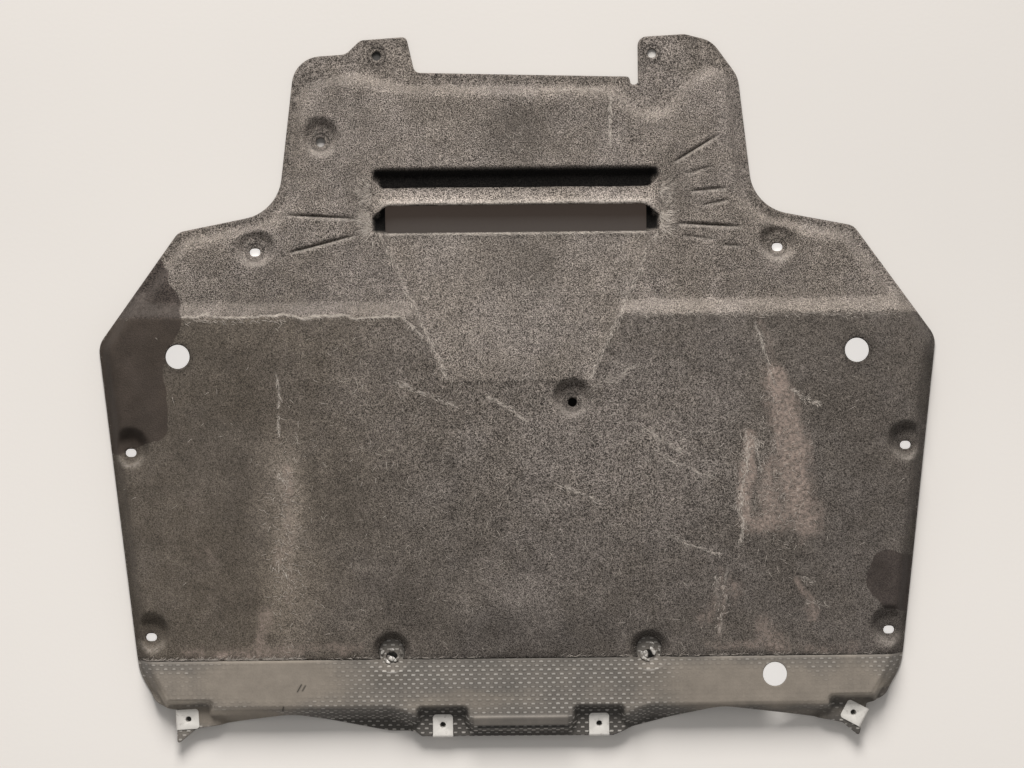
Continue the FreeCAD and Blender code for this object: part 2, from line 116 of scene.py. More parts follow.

# Stage: floor, with painted light and shade on it under the openings, in mm; light and camera in metres and
# degrees
FLOOR_HALF = 8000.0
FLOOR_Z = -0.4
LOUVRE_CENTRE, LOUVRE_HALF = (0, 186), (145, 36)
ROUND_REACH, SLOT_REACH = 20, 12
NUT_SPOT, BOLT_SPOT = 5.5, 9
FILL_COLOUR = (1.0, 0.975, 0.95, 1.0)
KEY_COLOUR = (1.0, 0.965, 0.93)
KEY_PLACE, KEY_SIZE = (-0.2, 2.65, 2.15), 1.5
CAMERA_X, CAMERA_Y, CAMERA_TURN = -0.0055, 0.0029, -0.6

# Pressed pleats of the felt: start, end, depth
PLEATS = [
    ((-228, 174), (-161, 170), 2.2), ((-225, 137), (-161, 153), 2.6), ((160, 224), (203, 250), 2.4),
    ((176, 194), (210, 197), 1.8), ((187, 180), (212, 185), 1.3), ((163, 162), (225, 158), 2.4),
    ((207, 140), (225, 139), 1.2), ((172, 212), (197, 219), 1.0), ((168, 150), (196, 146), 0.9)]
# Scratches in the felt: start, end
SCRATCHES = [
    ((-28, -8), (7, -33)), ((41, -99), (81, -114)), ((137, -65), (196, -95)), ((272, -6), (302, -21)),
    ((120, -40), (160, -66)), ((-120, 5), (-60, -20)), ((150, -150), (200, -170)), ((60, -10), (120, 20))]
# Frayed lines: start, end, weight, fibres, spread, raggedness. The pale line along the slot's front edge (y
# 153.6) is also a painted highlight on that edge.
FRAYS = [
    ((-332, 72.5), (-116, 71.5), 1.0, 480, 0.3, 1.8), ((-113, 71), (-94, 50), 0.7, 50, 0.8, 0.9),
    ((-137, 158), (-70, 9), 0.32, 120, 1.2, 0.9), ((140, 152), (73, 8), 0.32, 120, 1.4, 0.9),
    ((-131, 153.6), (131, 153.6), 1.0, 420, 0.4, 0.0), ((95, 290), (95, 240), 0.36, 60, 0.8, 0.9),
    ((24, 297), (90, 296), 0.3, 50, 0.8, 0.8), ((116, 71), (384, 69), 0.15, 130, 1.6, 1.0),
    ((-330, 68), (-230, 67), 0.1, 60, 1.2, 1.0), ((-378, -268.4), (-215, -268.2), 0.7, 300, 0.5, 0.1),
    ((-190, -268.4), (-40, -268.4), 0.2, 90, 0.6, 0.1), ((40, -268.4), (350, -268.4), 0.2, 140, 0.6, 0.1),
    ((229, -46), (223, -113), 0.9, 80, 2.0, 2.0), ((223, -113), (219, -158), 0.8, 50, 2.0, 2.0),
    ((233, -48), (240, -88), 0.7, 40, 2.4, 2.2), ((238, 62), (254, 4), 0.5, 24, 1.0, 1.5),
    ((-239, 14), (-238, -16), 0.6, 16, 0.6, 0.9), ((-237, -28), (-238, -44), 0.5, 16, 1.6, 1.4),
    ((-240, -82), (-228, -96), 0.55, 26, 3.0, 2.0), ((-240, -168), (-232, -186), 0.5, 26, 4.0, 2.0),
    ((206, -182), (200, -246), 0.4, 20, 2.0, 2.0), ((196, -190), (197, -232), 0.4, 14, 1.4, 2.0),
    ((280, -190), (294, -198), 0.45, 14, 2.0, 1.6), ((284, -215), (304, -222), 0.45, 14, 3.0, 1.6)]
# Paler and darker places of the felt: x, y, half x, half y, weight
FRONT_SHADES = [
    (90, -60, 150, 90, 0.14), (-330, 0, 130, 120, -0.12), (345, -90, 90, 160, -0.05),
    (-22, -252, 52, 24, -0.18), (70, -250, 34, 28, -0.16), (-285, -190, 28, 80, -0.04),
    (-108, -217, 38, 26, -0.14), (-120, -40, 90, 60, 0.05), (170, -200, 60, 40, -0.05),
    (-66, -72, 9, 9, -0.30), (-84, -60, 12, 9, -0.16), (-30, 52, 300, 16, 0.10), (-20, -202, 80, 20, 0.14),
    (-233, -100, 20, 50, 0.42), (-230, -200, 26, 64, 0.42), (270, -200, 30, 40, -0.08)]
REAR_SHADES = [
    (0, 256, 36, 32, -0.30), (66, 275, 36, 20, -0.18), (8, 125, 44, 26, -0.20), (-230, 125, 120, 60, -0.10),
    (-220, 78, 130, 12, -0.20), (230, 78, 130, 12, 0.20), (0, 50, 90, 60, -0.10), (-60, 60, 60, 40, 0.10),
    (-250, 100, 70, 40, -0.06), (250, 100, 60, 40, -0.10), (-300, 150, 50, 20, 0.08),
    (0, 299, 110, 7, -0.06), (-110, 301, 40, 8, -0.04), (-192, 306, 22, 14, -0.34),
    (152, 292, 18, 12, -0.12), (172, 322, 26, 16, -0.14), (-158, 205, 18, 26, -0.14),
    (158, 205, 18, 26, -0.14)]
# Places of the rear felt with little grain: x, y, half x, half y, weight
CALM_PLACES = [
    (-190, 265, 70, 60, 0.35), (0, 130, 90, 30, 0.30), (180, 220, 80, 90, 0.20), (0, 256, 32, 30, 0.6)]
# Dried mud: start, end, width, weight
MUD = [
    ((256, 6), (272, -60), 15, 1.0), ((273, -60), (282, -130), 19, 0.92),
    ((229, -48), (224, -130), 9, 0.92), ((228, -134), (282, -142), 20, 0.66),
    ((250, -85), (250, -130), 15, 0.66), ((243, 62), (255, 8), 9, 0.34),
    ((236, -238), (258, -254), 16, 0.52), ((279, -192), (296, -236), 7, 0.65),
    ((204, -182), (200, -246), 5, 0.55), ((180, -235), (215, -200), 14, 0.40),
    ((-160, -256), (-330, -264), 9, 0.56), ((190, -258), (330, -262), 9, 0.50),
    ((-330, -120), (-300, -200), 20, 0.30), ((-262, -262), (-250, -225), 12, 0.60),
    ((-233, -80), (-231, -100), 8, 0.58), ((-238, -165), (-236, -190), 9, 0.55),
    ((-231, -100), (-229, -235), 10, 0.40)]
# Patches of loose fibres: x, y, half x, half y, fibres
FUZZ = [
    (255, -95, 26, 80, 260), (-230, -150, 16, 90, 160), (0, 60, 70, 50, 160), (-40, 130, 60, 20, 60),
    (170, -75, 60, 40, 130), (0, -60, 260, 160, 500), (0, 230, 170, 60, 260)]
# Dust on the strip: x, y, half x, half y, weight
DUST = [
    (-250, -292, 75, 26, 1.0), (235, -300, 95, 24, 0.9), (-345, -300, 40, 20, 0.6),
    (-60, -312, 60, 10, 0.45), (330, -300, 40, 26, 0.7), (-290, -330, 60, 10, 0.9), (280, -330, 60, 8, 0.6)]
# Dark marks on the strip: start, end, width. The first is a painted shadow line under the tongue, the others
# are scratch marks.
TICKS = [
    ((-42, -338.3), (47, -338.3), 1.3), ((-222, -301), (-218, -294), 0.7),
    ((-217, -300), (-214, -295), 0.7), ((-237, -320), (-236, -316), 0.7)]
# Torn film: hole, radius, first and last angle, width, lift, tilt
SCRAPS = [
    (0, 7.4, 198, 258, 3.4, 0.6, 0.5), (0, 6.2, 288, 342, 2.6, 0.4, 0.1), (0, 9.8, 146, 174, 3.4, 1.0, 0.4),
    (0, 9.9, 4, 36, 3.0, 0.9, 0.3), (0, 6.0, 66, 118, 2.6, 0.3, 0.2), (0, 3.2, 175, 320, 4.8, -0.2, 0.3),
    (1, 7.2, 165, 275, 3.6, 0.9, 0.4), (1, 5.0, -25, 75, 4.4, 1.3, -0.3), (1, 10.5, 60, 92, 2.2, 2.4, 0.6),
    (1, 10.4, 8, 30, 2.8, 1.6, 0.5), (1, 3.2, 130, 255, 5.2, 0.2, 0.2)]


class Value:
    """A shader socket that can be reckoned with like a number."""

    def __init__(self, graph, socket):
        self.graph = graph
        self.socket = socket

    def math(self, operation, first, second=0.0):
        return self.graph.node("ShaderNodeMath", {"operation": operation}, {0: first, 1: second})

    def __add__(self, other):
        return self.math("ADD", self, other)

    def __radd__(self, other):
        return self.math("ADD", other, self)

    def __sub__(self, other):
        return self.math("SUBTRACT", self, other)

    def __rsub__(self, other):
        return self.math("SUBTRACT", other, self)

    def __mul__(self, other):
        return self.math("MULTIPLY", self, other)

    def __rmul__(self, other):
        return self.math("MULTIPLY", other, self)

    def smooth(self, low, high):
        """0 below low, 1 above high, with an eased passage; low may be the larger."""
        return self.graph.node("ShaderNodeMapRange", {"interpolation_type": "SMOOTHSTEP"},
                               {"Value": self, "From Min": low, "From Max": high})


class Graph:
    """Node tree of one material."""

    def __init__(self, name):
        self.material = bpy.data.materials.new(name)
        self.material.use_nodes = True
        self.tree = self.material.node_tree
        self.tree.nodes.clear()
        self.place = self.node("ShaderNodeTexCoord", output="Object")

    def node(self, kind, settings=None, values=None, output=0):
        """A new node: its settings are set first, then its sockets. Gives one of its outputs."""
        made = self.tree.nodes.new(kind)
        for key, value in (settings or {}).items():
            setattr(made, key, value)
        for key, value in (values or {}).items():
            if isinstance(value, Value):
                self.tree.links.new(value.socket, made.inputs[key])
            else:
                made.inputs[key].default_value = value
        return Value(self, made.outputs[output]) if made.outputs else None

    def noise(self, scale, detail=2.0, roughness=0.5, place=None, distortion=0.0):
        return self.node("ShaderNodeTexNoise", None, {
            "Vector": place or self.place, "Scale": scale, "Detail": detail, "Roughness": roughness,
            "Distortion": distortion})

    def stretched(self, turn, squeeze):
        """Coordinates turned about Z and drawn out along the new Y, for streaks."""
        return self.node("ShaderNodeMapping", {"vector_type": "TEXTURE"}, {
            "Vector": self.place, "Rotation": (0, 0, math.radians(turn)), "Scale": (1, 1 / squeeze, 1)})

    def mask(self, name):
        """A number stored at the mesh's points."""
        return self.node("ShaderNodeAttribute", {"attribute_name": name}, output="Fac")

    def mix(self, factor, first, second):
        """Blend of two colours, each a socket or three numbers."""
        first, second = (c if isinstance(c, Value) else (*c, 1.0) for c in (first, second))
        return self.node("ShaderNodeMix", {"data_type": "RGBA"}, {0: factor, 6: first, 7: second}, 2)

    def vector(self, operation, first, second=(0, 0, 0), output=0):
        return self.node("ShaderNodeVectorMath", {"operation": operation}, {0: first, 1: second}, output)

    def part(self, place, axis):
        return self.node("ShaderNodeSeparateXYZ", None, {0: place}, axis)

    def scaled(self, colour, factor):
        return self.node("ShaderNodeVectorMath", {"operation": "SCALE"}, {0: colour, "Scale": factor})

    def bump(self, height, distance, strength=1.0):
        return self.node("ShaderNodeBump", None, {
            "Height": height, "Distance": distance, "Strength": strength})

    def finish(self, values):
        """Puts the sockets on a Principled shader and ends the tree."""
        shader = self.node("ShaderNodeBsdfPrincipled", None, values)
        self.node("ShaderNodeOutputMaterial", None, {"Surface": shader})
        return self.material


def unit(values):
    """Values held between 0 and 1."""
    return np.clip(values, 0, 1)


def bell(values, middle, width):
    """1 at a middle value, falling to 0 on both sides of it."""
    return np.exp(-((values - middle) / width) ** 2)


def band(values, low, high, soft):
    """1 between low and high, with soft ends."""
    return unit((values - low) / soft + 0.5) * unit((high - values) / soft + 0.5)


def blob(points, x, y, half_x, half_y):
    """Soft oval spot: 1 in its middle, falling to 0."""
    return np.exp(-(((points[:, 0] - x) / half_x) ** 2 + ((points[:, 1] - y) / half_y) ** 2))


def shades(points, spots, gain, cut):
    """Sum of soft oval spots (x, y, half x, half y, weight) with widened middles."""
    return sum(weight * unit(gain * blob(points, *spot) - cut) for *spot, weight in spots)


def wave(points, size, seed):
    """Smooth noise of about unit range at points (n, 2), with lumps of about the given size."""
    shift = Vector((seed * 17.3, seed * 5.1, seed * 9.7))
    return np.array([noise.noise(Vector((x / size, y / size, 0)) + shift) for x, y in points])


def shifts(points, coarse, fine, seeds):
    """Uneven shifts in plan from two noises, each (reach, lump size)."""
    return np.stack([coarse[0] * wave(points, coarse[1], seed) + fine[0] * wave(points, fine[1], seed + 1)
                     for seed in seeds], 1)


def wobble(points):
    """Small shifts that make drawn lines ragged."""
    return shifts(points, (2.0, 16), (1.2, 6), (11, 13))


def radius_from(points, centre):
    """Distance of points (n, 2) to one place."""
    return np.hypot(points[:, 0] - centre[0], points[:, 1] - centre[1])


def segment(start, end):
    """Start, run and crossing direction of a segment."""
    start = np.array(start, float)
    run = np.array(end, float) - start
    return start, run, np.array([-run[1], run[0]]) / np.linalg.norm(run)


def segment_distance(points, start, end):
    """Distance of points (n, 2) to a segment, and how far along it the nearest place is (0 to 1)."""
    start, run, _ = segment(start, end)
    along = unit(((points - start) @ run) / (run @ run))
    return np.linalg.norm(points - start - along[:, None] * run, axis=1), along


def line_mask(points, lines):
    """Highest weight of lines (start, end, width, weight), each falling to 0 beside its line."""
    return np.max([weight * bell(segment_distance(points, start, end)[0], 0, width)
                   for start, end, width, weight in lines], axis=0)


def directions(vectors):
    """Vectors (n, d) brought to length 1."""
    return vectors / np.maximum(np.linalg.norm(vectors, axis=1), 1e-9)[:, None]


def face_normals(spots):
    """Normals of triangles (n, 3, 3), as long as twice their area."""
    return np.cross(spots[:, 1] - spots[:, 0], spots[:, 2] - spots[:, 0])


def hex_grid(low, high, spacing):
    """Staggered grid of points over a rectangle."""
    row = spacing * math.sqrt(3) / 2
    xs = np.arange(low[0], high[0] + spacing, spacing)
    ys = np.arange(low[1], high[1] + row, row)
    grid_x, grid_y = np.meshgrid(xs, ys)
    grid_x[1::2] += spacing / 2
    return np.stack([grid_x.ravel(), grid_y.ravel()], axis=1)


def quads(rows, size, closed=True):
    """Faces between neighbouring rows of points, each row of the given size."""
    return [(r * size + k, r * size + (k + 1) % size, (r + 1) * size + (k + 1) % size, (r + 1) * size + k)
            for r in range(rows - 1) for k in range(size if closed else size - 1)]


class Sheet:
    """Plan and heights of a sheet, taken from the underside of its CAD node."""

    def __init__(self, name):
        corners, triangles = self.read(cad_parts[name].data)
        self.tree = BVHTree.FromPolygons(corners.tolist(), triangles.tolist())
        self.loops = self.outlines(corners, triangles)
        used = corners[triangles].reshape(-1, 3)
        self.low, self.high = used.min(0), used.max(0)

    def read(self, mesh):
        """Merged corners, and the triangles that face down, without the louvre blade."""
        points = np.empty(len(mesh.vertices) * 3)
        mesh.vertices.foreach_get("co", points)
        mesh.calc_loop_triangles()
        triangles = np.empty(len(mesh.loop_triangles) * 3, int)
        mesh.loop_triangles.foreach_get("vertices", triangles)
        corners, merged = np.unique((points.reshape(-1, 3) / MM).round(3), axis=0, return_inverse=True)
        triangles = merged.reshape(-1)[triangles].reshape(-1, 3)
        spots = corners[triangles]
        normal = face_normals(spots)
        area = np.linalg.norm(normal, axis=1)
        x, y, z = spots.mean(1).T
        blade = ((y > BLADE_NOSE[0] - 1) & (y < BLADE_TAIL[0] + 1) & (z > 5)
                 & (np.abs(x) < BAY_HALF + 5) & (np.abs(normal[:, 0]) < 0.01 * area))
        return corners, triangles[(normal[:, 2] < -0.05 * area) & (area > 0) & ~blade]

    def outlines(self, corners, triangles):
        """Closed lines round the plan, with the sheet on their left."""
        edges = {(a, b) for t in triangles.tolist() for a, b in zip(t, t[1:] + t[:1])}
        ahead = {b: a for a, b in edges if (b, a) not in edges}
        loops = []
        while ahead:
            start, here = ahead.popitem()
            loop = [start]
            while here != start:
                loop.append(here)
                here = ahead.pop(here)
            loops.append(corners[loop][:, :2])
        return [loop for loop in loops if len(loop) > 3]

    def back(self, x, y):
        """Height of the sheet's back, or None outside the sheet."""
        hit = self.tree.ray_cast(Vector((x, y, -FAR)), UP)[0]
        return hit.z if hit else None

    def holds(self, points):
        """Which points (n, 2) lie on the sheet."""
        return np.array([self.back(x, y) is not None for x, y in points.tolist()], bool)

    def soft_back(self, points, radius):
        """Mean height of the back round each point."""
        turns = [math.tau * k / 6 for k in range(6)]
        offsets = [(0.0, 0.0)] + [(radius * math.cos(t), radius * math.sin(t)) for t in turns]
        heights = []
        for x, y in points.tolist():
            found = [h for h in (self.back(x + dx, y + dy) for dx, dy in offsets) if h is not None]
            if not found:
                found = [self.tree.find_nearest(Vector((x, y, 0)))[0].z]
            heights.append(sum(found) / len(found))
        return np.array(heights)

    def raster(self):
        """Heights of the back on a square grid; nan outside the sheet."""
        margin = RASTER_MARGIN * RASTER_STEP
        low, high = self.low - margin, self.high + margin
        xs, ys = (np.arange(low[i], high[i], RASTER_STEP).tolist() for i in (0, 1))
        return np.array([[self.back(x, y) for x in xs] for y in ys], float)


class Edge:
    """Even points along a sheet's outlines: places, inward directions and index pairs of their segments."""

    def __init__(self, sheet, spacing):
        rings, inward, self.links = [], [], []
        for loop in sheet.loops:
            ring = resampled(loop, spacing)
            along = directions(np.roll(ring, -1, 0) - np.roll(ring, 1, 0))
            first = sum(len(r) for r in rings)
            rings.append(ring)
            inward.append(np.stack([-along[:, 1], along[:, 0]], 1))
            self.links += [(first + i, first + (i + 1) % len(ring)) for i in range(len(ring))]
        self.places, self.inward = np.concatenate(rings), np.concatenate(inward)
        self.tree = kdtree.KDTree(len(self.places))
        for i, (x, y) in enumerate(self.places.tolist()):
            self.tree.insert((x, y, 0), i)
        self.tree.balance()

    def nearest(self, points):
        """Index of the nearest place, and the way to it, for each point."""
        near = np.array([self.tree.find((x, y, 0))[1:] for x, y in points.tolist()]).reshape(-1, 2)
        return near[:, 0].astype(int), near[:, 1]

    def distance(self, points):
        """Distance of points to the outlines, taken square to them close by."""
        index, direct = self.nearest(points)
        square = np.einsum("ij,ij->i", points - self.places[index], self.inward[index])
        return np.where(direct < 6, np.maximum(square, 0), direct)


def resampled(loop, spacing):
    """Points at about even distances along a closed line, with its sharp corners kept."""
    run = np.roll(loop, -1, 0) - loop
    heading = np.arctan2(run[:, 1], run[:, 0])
    turn = (heading - np.roll(heading, 1) + math.pi) % math.tau - math.pi
    corners = [i for i in range(len(loop)) if abs(turn[i]) > SHARP_TURN] or [0]
    points = []
    for k, first in enumerate(corners):
        last = corners[(k + 1) % len(corners)]
        count = (last - first) % len(loop) or len(loop)
        chain = loop[[(first + i) % len(loop) for i in range(count + 1)]]
        length = np.concatenate([[0], np.cumsum(np.linalg.norm(np.diff(chain, axis=0), axis=1))])
        steps = np.linspace(0, length[-1], max(2, round(length[-1] / spacing)) + 1)[:-1]
        points.append(np.stack([np.interp(steps, length, chain[:, axis]) for axis in (0, 1)], 1))
    return np.concatenate(points)


class Meshed:
    """Points of one skin of a sheet, triangulated within its outlines."""

    def __init__(self, sheet, edge, inner):
        everything = [Vector(p) for p in np.concatenate([edge.places, inner]).tolist()]
        corners, _, faces, origins, _, _ = geometry.delaunay_2d_cdt(everything, edge.links, [], 1, 1e-3)
        self.points = np.array([(c.x, c.y) for c in corners])
        found = {source: i for i, sources in enumerate(origins) for source in sources}
        self.edge = [found[i] for i in range(len(edge.places))]
        faces = np.array(faces)
        inside = ~np.isin(faces, self.edge).all(1)
        self.faces = faces[inside | sheet.holds(self.points[faces].mean(1))]
        a, b, c = (self.points[self.faces[:, i]] for i in range(3))
        area = (b[:, 0] - a[:, 0]) * (c[:, 1] - a[:, 1]) - (b[:, 1] - a[:, 1]) * (c[:, 0] - a[:, 0])
        self.faces[area < 0] = self.faces[area < 0][:, ::-1]


def inner_points(sheet, edge, rings, flat, wall, extra=()):
    """Points inside a sheet: rings along the edge, a grid on flats and a finer one on walls."""
    heights = sheet.raster()
    slope = np.hypot(*np.gradient(heights, RASTER_STEP))
    steep = (slope > WALL_SLOPE) | (np.isnan(slope) & ~np.isnan(heights))
    for axis in (0, 1):
        steep = steep | np.roll(steep, 1, axis) | np.roll(steep, -1, axis)
    found = [(edge.places + edge.inward * ring, 0.9 * ring) for ring in rings]
    for spacing, wanted in ((flat, False), (wall, True)):
        grid = hex_grid(sheet.low, sheet.high, spacing)
        cell = ((grid - sheet.low[:2]) / RASTER_STEP + (RASTER_MARGIN + 0.5)).astype(int)
        column, row = cell.clip(0, np.array(heights.shape)[::-1] - 1).T
        grid = grid[~np.isnan(heights[row, column]) & (steep[row, column] == wanted)]
        found.append((grid, rings[-1] + 0.4 * spacing))
    found += [(points, rings[-1]) for points in extra]
    inner = np.concatenate([points[edge.nearest(points)[1] > gap] for points, gap in found])
    return inner[sheet.holds(inner)]


def rounding(distance, radius):
    """Drop of a rounded edge at a distance from the outline."""
    rest = np.clip(radius - distance, 0, radius)
    return radius - np.sqrt(radius * radius - rest * rest)


def joined(top, top_z, back, back_z, links):
    """Closed mesh, in metres, from two skins that share their outlines."""
    count = len(top.points)
    skins = [np.column_stack([top.points, top_z]), np.column_stack([back.points, back_z])]
    faces = top.faces.tolist() + (back.faces[:, ::-1] + count).tolist()
    faces += [(top.edge[b], top.edge[a], back.edge[a] + count, back.edge[b] + count) for a, b in links]
    return np.concatenate(skins) * MM, faces


def facing_rear(skin, heights):
    """How far each point of a skin leans to the rear, from 0 to 1."""
    normal = face_normals(np.column_stack([skin.points, heights])[skin.faces])
    total = np.zeros((len(skin.points), 3))
    for k in range(3):
        np.add.at(total, skin.faces[:, k], normal)
    return unit(directions(total)[:, 1])


def new_object(name, points, faces, material, masks=None):
    """Smooth mesh object in metres, with numbers stored at its points."""
    mesh = bpy.data.meshes.new(name)
    mesh.from_pydata(points.tolist(), [], faces)
    mesh.shade_smooth()
    for key, values in (masks or {}).items():
        stored = mesh.attributes.new(key, "FLOAT", "POINT")
        stored.data.foreach_set("value", np.asarray(values, np.float32))
    mesh.materials.append(material)
    made = bpy.data.objects.new(name, mesh)
    bpy.context.scene.collection.objects.link(made)
    return made


def hold(made, slot, *nodes):
    """Fixes a piece to the part, in place of CAD nodes where some are named."""
    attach(made, "root")
    if nodes:
        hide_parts(*nodes)


def metres(name, description, default):
    """A setting in metres."""
    return bpy.props.FloatProperty(name=name, description=description, default=default, unit="LENGTH",
                                   precision=5)


def paint(name, description, default):
    """A colour setting."""
    return bpy.props.FloatVectorProperty(name=name, description=description, default=default,
                                         subtype="COLOR")


class FeltSettings(bpy.types.PropertyGroup):
    flat_spacing: metres("Flat spacing", "Mesh width on flat felt", 0.0037)
    wall_spacing: metres("Wall spacing", "Mesh width on walls", 0.0017)
    softness: metres("Softness", "Rounding of pressed corners", 0.0024)
    edge_radius: metres("Edge radius", "Rounding of cut edges", 0.0015)
    lump: metres("Lumps", "Height of the felt's unevenness", 0.00035)
    dark: paint("Dark fibre", "Colour between the pale fibres", (0.020, 0.017, 0.015))
    pale: paint("Pale fibre", "Colour of the pale fibres", (0.460, 0.412, 0.368))
    mud: paint("Dried mud", "Colour of the dried mud", (0.308, 0.247, 0.213))
    fuzz: paint("Loose fibre", "Colour of the loose fibres", (0.54, 0.495, 0.445))


class StripSettings(bpy.types.PropertyGroup):
    spacing: metres("Spacing", "Mesh width", 0.001)
    stud_length: metres("Stud length", "Length of a stud", 0.0042)
    stud_width: metres("Stud width", "Width of a stud", 0.0017)
    stud_pitch: metres("Stud pitch", "Distance of studs in a row", 0.0082)
    row_gap: metres("Row gap", "Distance of rows", 0.0042)
    stud_height: metres("Stud height", "Height of a stud", 0.00045)
    plastic: paint("Plastic", "Colour between the studs", (0.172, 0.157, 0.140))
    hollow: paint("Hollow", "Colour between the studs of the lip", (0.085, 0.078, 0.070))
    stud: paint("Stud", "Colour of the worn studs", (0.43, 0.41, 0.38))
    film: paint("Torn film", "Colour of the torn film at the bolts", (0.62, 0.60, 0.565))
    dust: paint("Dust", "Colour of the dust on the strip", (0.265, 0.232, 0.193))


class NutSettings(bpy.types.PropertyGroup):
    edge: metres("Edge", "Rounding of the sheet edges", 0.00025)
    zinc: paint("Zinc", "Colour of the zinc coat", (0.76, 0.74, 0.70))
    grime: paint("Grime", "Colour of the dirt on the nuts", (0.30, 0.27, 0.235))


class StageSettings(bpy.types.PropertyGroup):
    camera_height: metres("Camera height", "Height of the camera above the floor", 3.0)
    key_power: bpy.props.FloatProperty(name="Key light", description="Power of the light behind the part",
                                       default=158.0, unit="POWER")
    fill: bpy.props.FloatProperty(name="Fill light", description="Brightness of the light from all round",
                                  default=0.36)
    floor: paint("Floor", "Colour of the floor", (0.79, 0.765, 0.735))
    # The next two colours are painted: light on the floor under the round and slotted holes, and shade under
    # the louvre.
    glow: paint("Glow", "Colour seen through the round and slotted holes", (0.72, 0.69, 0.66))
    painted_louvre_shade: paint("Beneath", "Colour seen through the louvre", (0.040, 0.029, 0.023))


def felt_masks(points, distance, rub_streaks_and_lit_slopes):
    """Numbers that steer the felt's colours at points (n, 2), painted light and shade among them."""
    x, y = points.T
    side = np.abs(x)
    drift = points + shifts(points, (14, 40), (5, 12), (1, 3))
    near = 0.5 * (points + drift)
    ramp_half = RAMP_HALF + (y - RAMP_TOE_Y) * RAMP_FLARE
    on_ramp = band(y, RAMP_TOE_Y, 200, 3) * band(ramp_half - side, 0, FAR, 3)
    rear = np.maximum(band(y, STEP_TOP_Y, FAR, 4), on_ramp)
    front, off_ramp = 1 - rear, 1 - on_ramp
    tone_and_painted_light = 0.66 + 0.31 * rear - 0.10 * on_ramp
    tone_and_painted_light += shades(drift, FRONT_SHADES, 1.3, 0.08) * front + shades(near, REAR_SHADES, 1.6, 0.15) * rear
    # Painted highlight: the step face, and the slopes that face the key light, are made paler.
    tone_and_painted_light += 0.04 * band(y, STEP_TOP_Y, STEP_Y, 6) * off_ramp + 0.20 * np.sqrt(rub_streaks_and_lit_slopes) * rear
    tone_and_painted_light *= 1 - 0.36 * unit(1 - distance / 7) * front
    tone_and_painted_light *= 1 - 0.24 * unit(1.4 - distance / 9) * band(y, 140, FAR, 20)
    left_line = np.interp(y, [-75, -49, 70, 90, 131], [-425, -352, -336, -334, -362])
    stain = unit((left_line - drift[:, 0]) / 5 + 0.5) * band(drift[:, 1], -70, 140, 24)
    puddle = 1 - np.hypot((drift[:, 0] - 378) / 36, (drift[:, 1] + 197) / 31)
    stain = np.maximum(stain, unit(6 * puddle + 0.5))
    tone_and_painted_light += (0.58 - tone_and_painted_light) * stain
    # Painted shade: the floor and walls of the louvre bay are darkened almost to black, as the deep shade
    # behind the blade, less so at the blade's ends.
    painted_bay_shade = band(y, SLOT_FRONT + 1, BAY_REAR - 0.5, 2.5) * band(side, -1, BAY_HALF + 3.5, 3)
    painted_bay_shade *= 1 - band(y, 172, 209, 6) * band(side, BAY_HALF - 2, BAY_HALF + 12, 3)
    # Painted shade: darker lines along the pleats and the ramp's foot, and darker rings round the embossed
    # holes.
    creases = [(start, end, CREASE_WIDTH, 1.0) for start, end, _ in PLEATS]
    crease_shade = line_mask(points, creases + [(*RAMP_FOOT, CREASE_WIDTH, 0.5)])
    for hole in RINGED_HOLES:
        crease_shade = np.maximum(crease_shade, 0.8 * bell(radius_from(points, hole), RING_RADIUS, 1.0))
    rough = blob(drift, 95, -70, 170, 110) + 0.5 * blob(drift, -80, 10, 150, 60)
    quiet = unit(0.80 - 0.70 * rough + 0.25 * blob(drift, -340, -120, 150, 250)) * front
    calm = 0.12 + shades(drift, CALM_PLACES, 1.0, 0.0)
    # Less grain on the step face and on the slopes that face the key light, to go with their painted
    # highlight.
    calm += 0.30 * band(y, STEP_TOP_Y, STEP_Y + 8, 8) * off_ramp + 0.40 * rub_streaks_and_lit_slopes
    quiet = np.maximum(quiet, np.minimum(calm, 0.8) * rear)
    lit_dimple_rim = np.zeros(len(points))
    # Painted highlight: each bolt dimple is paler and smoother on its lower side, which faces the key light,
    # and its lower rim gets a pale ring.
    for hole in BOLT_HOLES:
        below = blob(points, hole[0], hole[1] - 9, 15, 9)
        tone_and_painted_light += 0.12 * below
        quiet = np.maximum(quiet, 0.9 * below)
        rim = bell(radius_from(points, hole), DIMPLE_RIM, 3.0) * unit((hole[1] - y) / 8)
        lit_dimple_rim = np.maximum(lit_dimple_rim, rim)
    warm = unit((-60 - x) / 200) * front
    shift = wobble(points)
    fray_and_highlight = np.max([line_mask(points + ragged * shift, [(start, end, FRAY_WIDTH, weight)])
                   for start, end, weight, _, _, ragged in FRAYS], axis=0)
    fray_and_highlight *= 0.35 + 0.65 * unit(0.6 + 1.3 * wave(points, 24, 15))
    scored = line_mask(points + SCRATCH_RAGGED * shift, [(*line, 1.1, 0.7) for line in SCRATCHES])
    scored *= unit(0.6 + 1.8 * wave(points, 6, 17))
    # Painted highlight: a pale line along the side of each pleat that faces the key light.
    pleat_highlights = [((a[0], a[1] - 2), (b[0], b[1] - 2), CREASE_WIDTH, 0.22 * depth) for a, b, depth in PLEATS]
    # Pale marks: frayed lines and scratches, with the painted highlights of the pleats, of slopes that face
    # the key light and of the dimples' lower rims.
    pale = (fray_and_highlight, scored, line_mask(points, pleat_highlights), 0.10 * rub_streaks_and_lit_slopes * rear, 0.30 * lit_dimple_rim)
    mud = line_mask(near, MUD)
    return dict(zip(FELT_MASKS, (tone_and_painted_light, stain, mud, painted_bay_shade, quiet, warm, crease_shade, np.max(pale, axis=0))))


